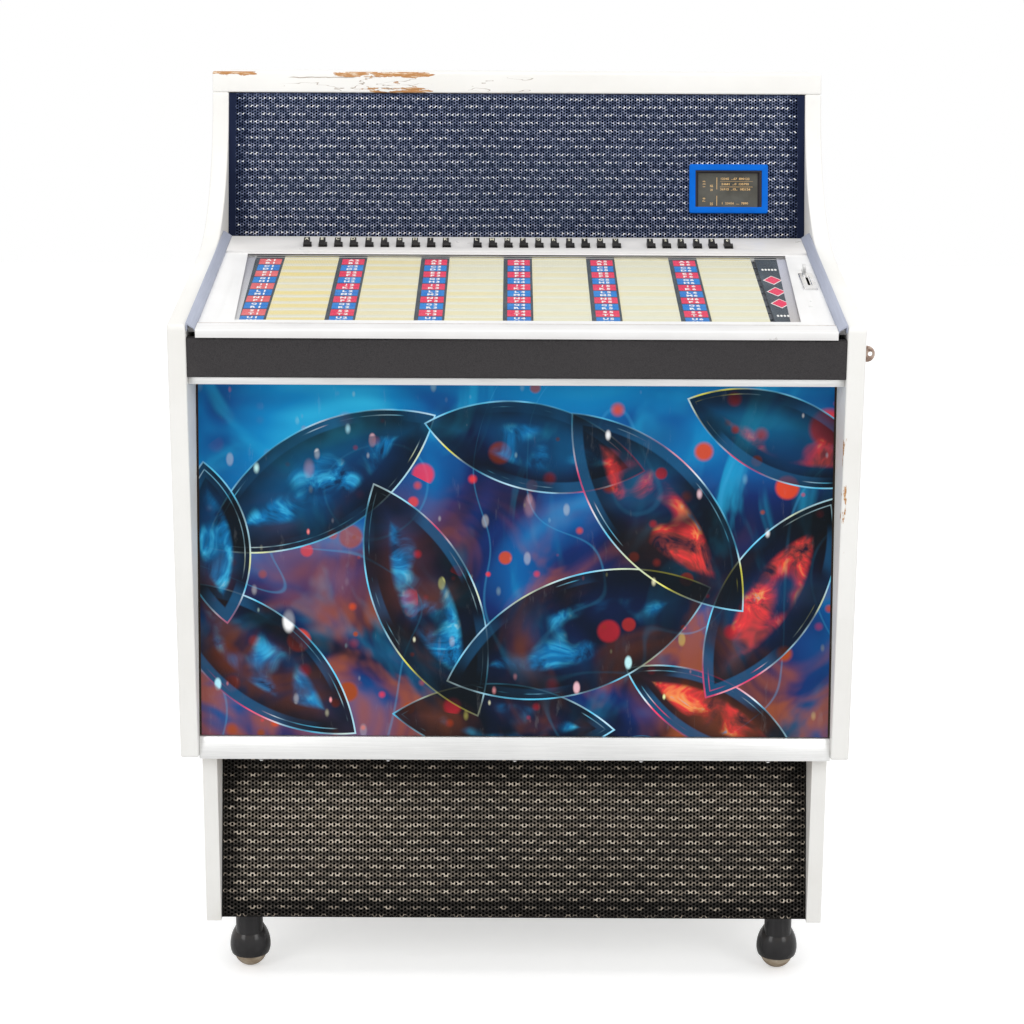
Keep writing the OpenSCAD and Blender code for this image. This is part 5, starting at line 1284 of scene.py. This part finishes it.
marks = [("1 2 3", -36.0, 7.5, 3.05, 3.8, 1.0, 90), ("7 8", -36.0, -16.0, 3.05, 3.8, 1.0, 90),
         ("46", -25.0, 4.6, 3.05, 4.2, 0.9, 0), ("28", -25.0, -1.2, 3.05, 3.2, 0.9, 0),
         ("35", -25.0, -22.0, 3.05, 4.2, 0.9, 0)]
for y, text in ((15.2, "12345  ...67  890123"), (7.4, "24681  ...0  135790"), (-0.3, "36912  ..15..  182124"),
                (-21.0, "1  23456  ....  7890")):
    marks.append((text, 10.0, y, 3.12, 3.4, 1.22, 0))
lettering("display_figures", marks, display, amber, "cabinet", weight=0.03)
lines = [(-17.6, -0.6, -16.6, 17.0), (-17.6, -24.5, -16.6, -10.0), (-12.5, 3.0, 36.0, 3.5),
         (-12.5, 11.2, 36.0, 11.5)]
boxes("display_lines", [((left, low, PLATE_UP), (right, high, PLATE_UP + INK_T))
                        for left, low, right, high in lines], display, amber, "cabinet")

# %%  Coin entry
COIN_X, COIN_S, SLOT_LONG, SLOT_WIDE = 400.0, 213.0, 33.8, 3.2
dressed("coin_plate", chrome)
dressed("reject_lever", aluminium)
pitch_dark = moulded_finish("slot_dark", (0.004, 0.004, 0.004), 0.9, sheen=0.0)
boxes("coin_slot", [((COIN_X - SLOT_WIDE / 2, COIN_S - SLOT_LONG / 2, -2.9),
                     (COIN_X + SLOT_WIDE / 2, COIN_S + SLOT_LONG / 2, -1.7))],
      lid_frame, pitch_dark, "lid")

# %% [markdown]
# ## The mechanism under the lid
# The lid hides it, but it is the heart of the machine: sixty records stand in a ring
# between moulded fins. The ring turns a record to the gripper arm, which swings it over
# to the upright platter. Each record here has a label in its own colour and fine grooves.
# One disc is drawn once by a rule and set round the ring sixty times.

# %%  Records
LABEL_EDGE, GROOVE_STEP = 0.0450, 0.0011   # a label's radius and the step of the drawn grooves, in metres


def vinyl_finish():
    """Black vinyl with grooves outside and a paper label inside, read from the disc's own radius."""
    material, tree, shader = new_finish("vinyl", Specular_IOR_Level=0.45)

    def own(name):
        return knot(tree, "ShaderNodeAttribute", attribute_name=name).outputs["Fac"]

    radius, tone = own("radius"), own("tone")
    paper = ramp(tree, tone, (0.00, (0.62, 0.09, 0.05)), (0.18, (0.75, 0.52, 0.10)),
                 (0.36, (0.06, 0.20, 0.48)), (0.55, (0.78, 0.74, 0.64)), (0.74, (0.10, 0.30, 0.16)),
                 (0.92, (0.08, 0.08, 0.09)))
    print_lines = rise(tree, sums(tree, "FRACT", sums(tree, "MULTIPLY", radius, 260.0)), 0.72, 0.80)
    paper = blend_in(tree, sums(tree, "MULTIPLY", print_lines, 0.25), paper, (0.10, 0.09, 0.08))
    on_label = rise(tree, radius, LABEL_EDGE + 0.0005, LABEL_EDGE)
    colour = blend_in(tree, on_label, (0.012, 0.012, 0.013), paper)
    grooves = sums(tree, "SINE", sums(tree, "MULTIPLY", radius, 2 * math.pi / GROOVE_STEP))
    outward = knot(tree, "ShaderNodeCombineXYZ", {0: radius}).outputs[0]
    tracks = rise(tree, noise(tree, outward, 420.0, 1.0), 0.5, 0.62)
    lead(tree, shader, Base_Color=colour, Roughness=blend_in(tree, on_label, sums(
        tree, "MULTIPLY_ADD", tracks, 0.14, 0.22), 0.6),
        Normal=bump(tree, sums(tree, "MULTIPLY", grooves, rise(tree, radius, 0.050, 0.052)), 0.00006))
    return material


def record_rule():
    """Upright discs set round a ring. Each point keeps its radius in metres, each disc a random tone."""
    tree, given, end = new_rule("record_ring", Count=("Int", 60), Ring=("Float", 153.5),
                                Radius=("Float", 87.5), Hole=("Float", 19.0), Thickness=("Float", 1.5),
                                Seed=("Int", 5), Finish=("Material", None))
    middle = sums(tree, "MULTIPLY", sums(tree, "ADD", given["Radius"], given["Hole"]), 0.5)
    circle = knot(tree, "GeometryNodeCurvePrimitiveCircle", {
        "Resolution": 40, "Radius": middle}, mode="RADIUS").outputs[0]
    section = knot(tree, "GeometryNodeCurvePrimitiveQuadrilateral", {
        "Width": sums(tree, "SUBTRACT", given["Radius"], given["Hole"]), "Height": given["Thickness"]},
        mode="RECTANGLE").outputs[0]
    disc = knot(tree, "GeometryNodeCurveToMesh", {"Curve": circle, "Profile Curve": section}).outputs[0]
    here = knot(tree, "GeometryNodeInputPosition").outputs[0]
    far = length_of(tree, here)
    measured = knot(tree, "GeometryNodeStoreNamedAttribute", {
        "Geometry": disc, "Name": "radius", "Value": sums(tree, "MULTIPLY", far, 0.001)},
        data_type="FLOAT", domain="POINT").outputs[0]
    upright = knot(tree, "GeometryNodeTransform", {
        "Geometry": measured, "Rotation": (math.pi / 2, 0.0, 0.0)}).outputs[0]
    ring = knot(tree, "GeometryNodeMeshCircle", {
        "Vertices": given["Count"], "Radius": given["Ring"]}).outputs[0]
    number = knot(tree, "GeometryNodeInputIndex").outputs[0]
    angle = sums(tree, "DIVIDE", sums(tree, "MULTIPLY", number, 2 * math.pi), given["Count"])
    turn = knot(tree, "ShaderNodeCombineXYZ", {2: angle}).outputs[0]
    placed = knot(tree, "GeometryNodeInstanceOnPoints", {
        "Points": ring, "Instance": upright, "Rotation": turn}).outputs[0]
    chance = knot(tree, "FunctionNodeRandomValue", {"Seed": given["Seed"]}, data_type="FLOAT").outputs[1]
    marked = knot(tree, "GeometryNodeStoreNamedAttribute", {
        "Geometry": placed, "Name": "tone", "Value": chance}, data_type="FLOAT", domain="INSTANCE").outputs[0]
    close_rule(tree, marked, given["Finish"], end)
    return tree


ring_middle = sum(box_corners("record_carousel"), Vector()) / 8
RECORD_Z = 563.3         # height of the records' middles, in millimetres
ring_place = Matrix.Translation((ring_middle.x, ring_middle.y, RECORD_Z * MM)) @ Matrix.Scale(MM, 4)
records = grown("ring_of_records", record_rule(), "magazine", "vinyl", ring_place, smooth=True,
                Count=60, Ring=153.5, Radius=87.5, Hole=19.0, Thickness=1.5, Finish=vinyl_finish())
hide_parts("records")

# %%  The other moving pieces
def ribbed_rubber_finish():
    """Black rubber with rings pressed into it about the platter's middle."""
    material, tree, shader = new_finish("platter_rubber", Specular_IOR_Level=0.25)
    where = place_on(tree, sum(box_corners("turntable"), Vector()) / 8)
    x, _, z = axes(tree, where)[:3]
    spoke = knot(tree, "ShaderNodeCombineXYZ", {0: x, 2: z}).outputs[0]
    rings = sums(tree, "SINE", sums(tree, "MULTIPLY", length_of(tree, spoke), 2 * math.pi / 0.005))
    worn = noise(tree, where, 40.0, 4.0)
    black = ramp(tree, worn, (0.3, (0.020, 0.020, 0.021)), (0.7, (0.045, 0.043, 0.042)))
    lead(tree, shader, Base_Color=black, Roughness=ramp(tree, worn, (0.3, 0.55), (0.7, 0.75)),
         Normal=bump(tree, rings, 0.0003))
    return material


carousel_tan = moulded_finish("carousel_plastic", (0.46, 0.30, 0.13), 0.42, 0.35)
tone_ivory = moulded_finish("tone_arm_plastic", (0.66, 0.62, 0.52), 0.35, 0.15)
dressed("record_carousel", carousel_tan)
dressed("turntable", ribbed_rubber_finish())
dressed("tone_arm", tone_ivory)
dressed("mech_chassis", zinc)
dressed("gripper_arm", zinc)

# %% [markdown]
# ## Screws
# The rear panel is held by a row of plain pan-head screws all round, and five small
# screws show under the front rail. One head is cut once and set at each place of a grid.
# For the rear panel the rule keeps the grid's border only.

# %%  The rule for rows of screws
def screw_rule():
    """Slotted heads on the border of a grid, each slot turned its own way."""
    tree, given, end = new_rule("screws", Columns=("Int", 2), Rows=("Int", 2), Wide=("Float", 1.0),
                                High=("Float", 0.0), Head=("Float", 4.0), Proud=("Float", 1.6),
                                Finish=("Material", None))
    grid = knot(tree, "GeometryNodeMeshGrid", {"Size X": given["Wide"], "Size Y": given["High"],
                                               "Vertices X": given["Columns"],
                                               "Vertices Y": given["Rows"]}).outputs[0]
    around = knot(tree, "GeometryNodeInputMeshVertexNeighbors").outputs["Face Count"]
    border = knot(tree, "FunctionNodeCompare", {2: around, 3: 4}, data_type="INT",
                  operation="LESS_THAN").outputs[0]
    head = knot(tree, "GeometryNodeMeshCone", {
        "Vertices": 16, "Radius Bottom": given["Head"],
        "Radius Top": sums(tree, "MULTIPLY", given["Head"], 0.72), "Depth": given["Proud"]}).outputs["Mesh"]
    bar = knot(tree, "GeometryNodeMeshCube", {"Size": knot(tree, "ShaderNodeCombineXYZ", {
        0: sums(tree, "MULTIPLY", given["Head"], 1.1), 1: sums(tree, "MULTIPLY", given["Head"], 0.24),
        2: given["Proud"]}).outputs[0]}).outputs[0]
    lifted = knot(tree, "ShaderNodeCombineXYZ", {2: sums(tree, "MULTIPLY", given["Proud"], 0.95)}).outputs[0]
    groove = knot(tree, "GeometryNodeTransform", {"Geometry": bar, "Translation": lifted}).outputs[0]
    cut = knot(tree, "GeometryNodeMeshBoolean", {"Mesh 1": head, "Mesh 2": groove},
               operation="DIFFERENCE", solver="EXACT").outputs[0]
    turns = knot(tree, "FunctionNodeRandomValue", {0: (0.0, 0.0, 0.0), 1: (0.0, 0.0, 6.28)},
                 data_type="FLOAT_VECTOR").outputs[0]
    placed = knot(tree, "GeometryNodeInstanceOnPoints", {
        "Points": grid, "Selection": border, "Instance": cut, "Rotation": turns}).outputs[0]
    close_rule(tree, placed, given["Finish"], end)
    return tree


screws = screw_rule()
panel = box_corners("rear_panel")
panel_low = Vector([min(c[i] for c in panel) for i in range(3)])
panel_high = Vector([max(c[i] for c in panel) for i in range(3)])
SCREW_IN = 14.0      # from the rear panel's edges, in millimetres
back_place = Matrix.Translation((0, panel_high.y + 0.0007, (panel_low.z + panel_high.z) / 2)) @ \
    Matrix.Rotation(-math.pi / 2, 4, "X") @ Matrix.Scale(MM, 4)
field = (panel_high - panel_low) / MM - Vector((2, 2, 2)) * SCREW_IN
grown("rear_panel_screws", screws, "cabinet", "steel", back_place, Columns=6, Rows=6,
      Wide=field.x, High=field.z, Head=4.2, Proud=1.6, Finish=zinc)
RAIL_SCREWS_Y = -0.303
rail_low = min(c.z for c in box_corners("front_rails"))
under_place = Matrix.Translation((0, RAIL_SCREWS_Y, rail_low - 0.0008)) @ \
    Matrix.Rotation(math.pi, 4, "X") @ Matrix.Scale(MM, 4)
grown("rail_screws", screws, "cabinet", "aluminium", under_place, Columns=5, Rows=1, Wide=684.0, High=0.0,
      Head=4.0, Proud=2.0, Finish=chrome)
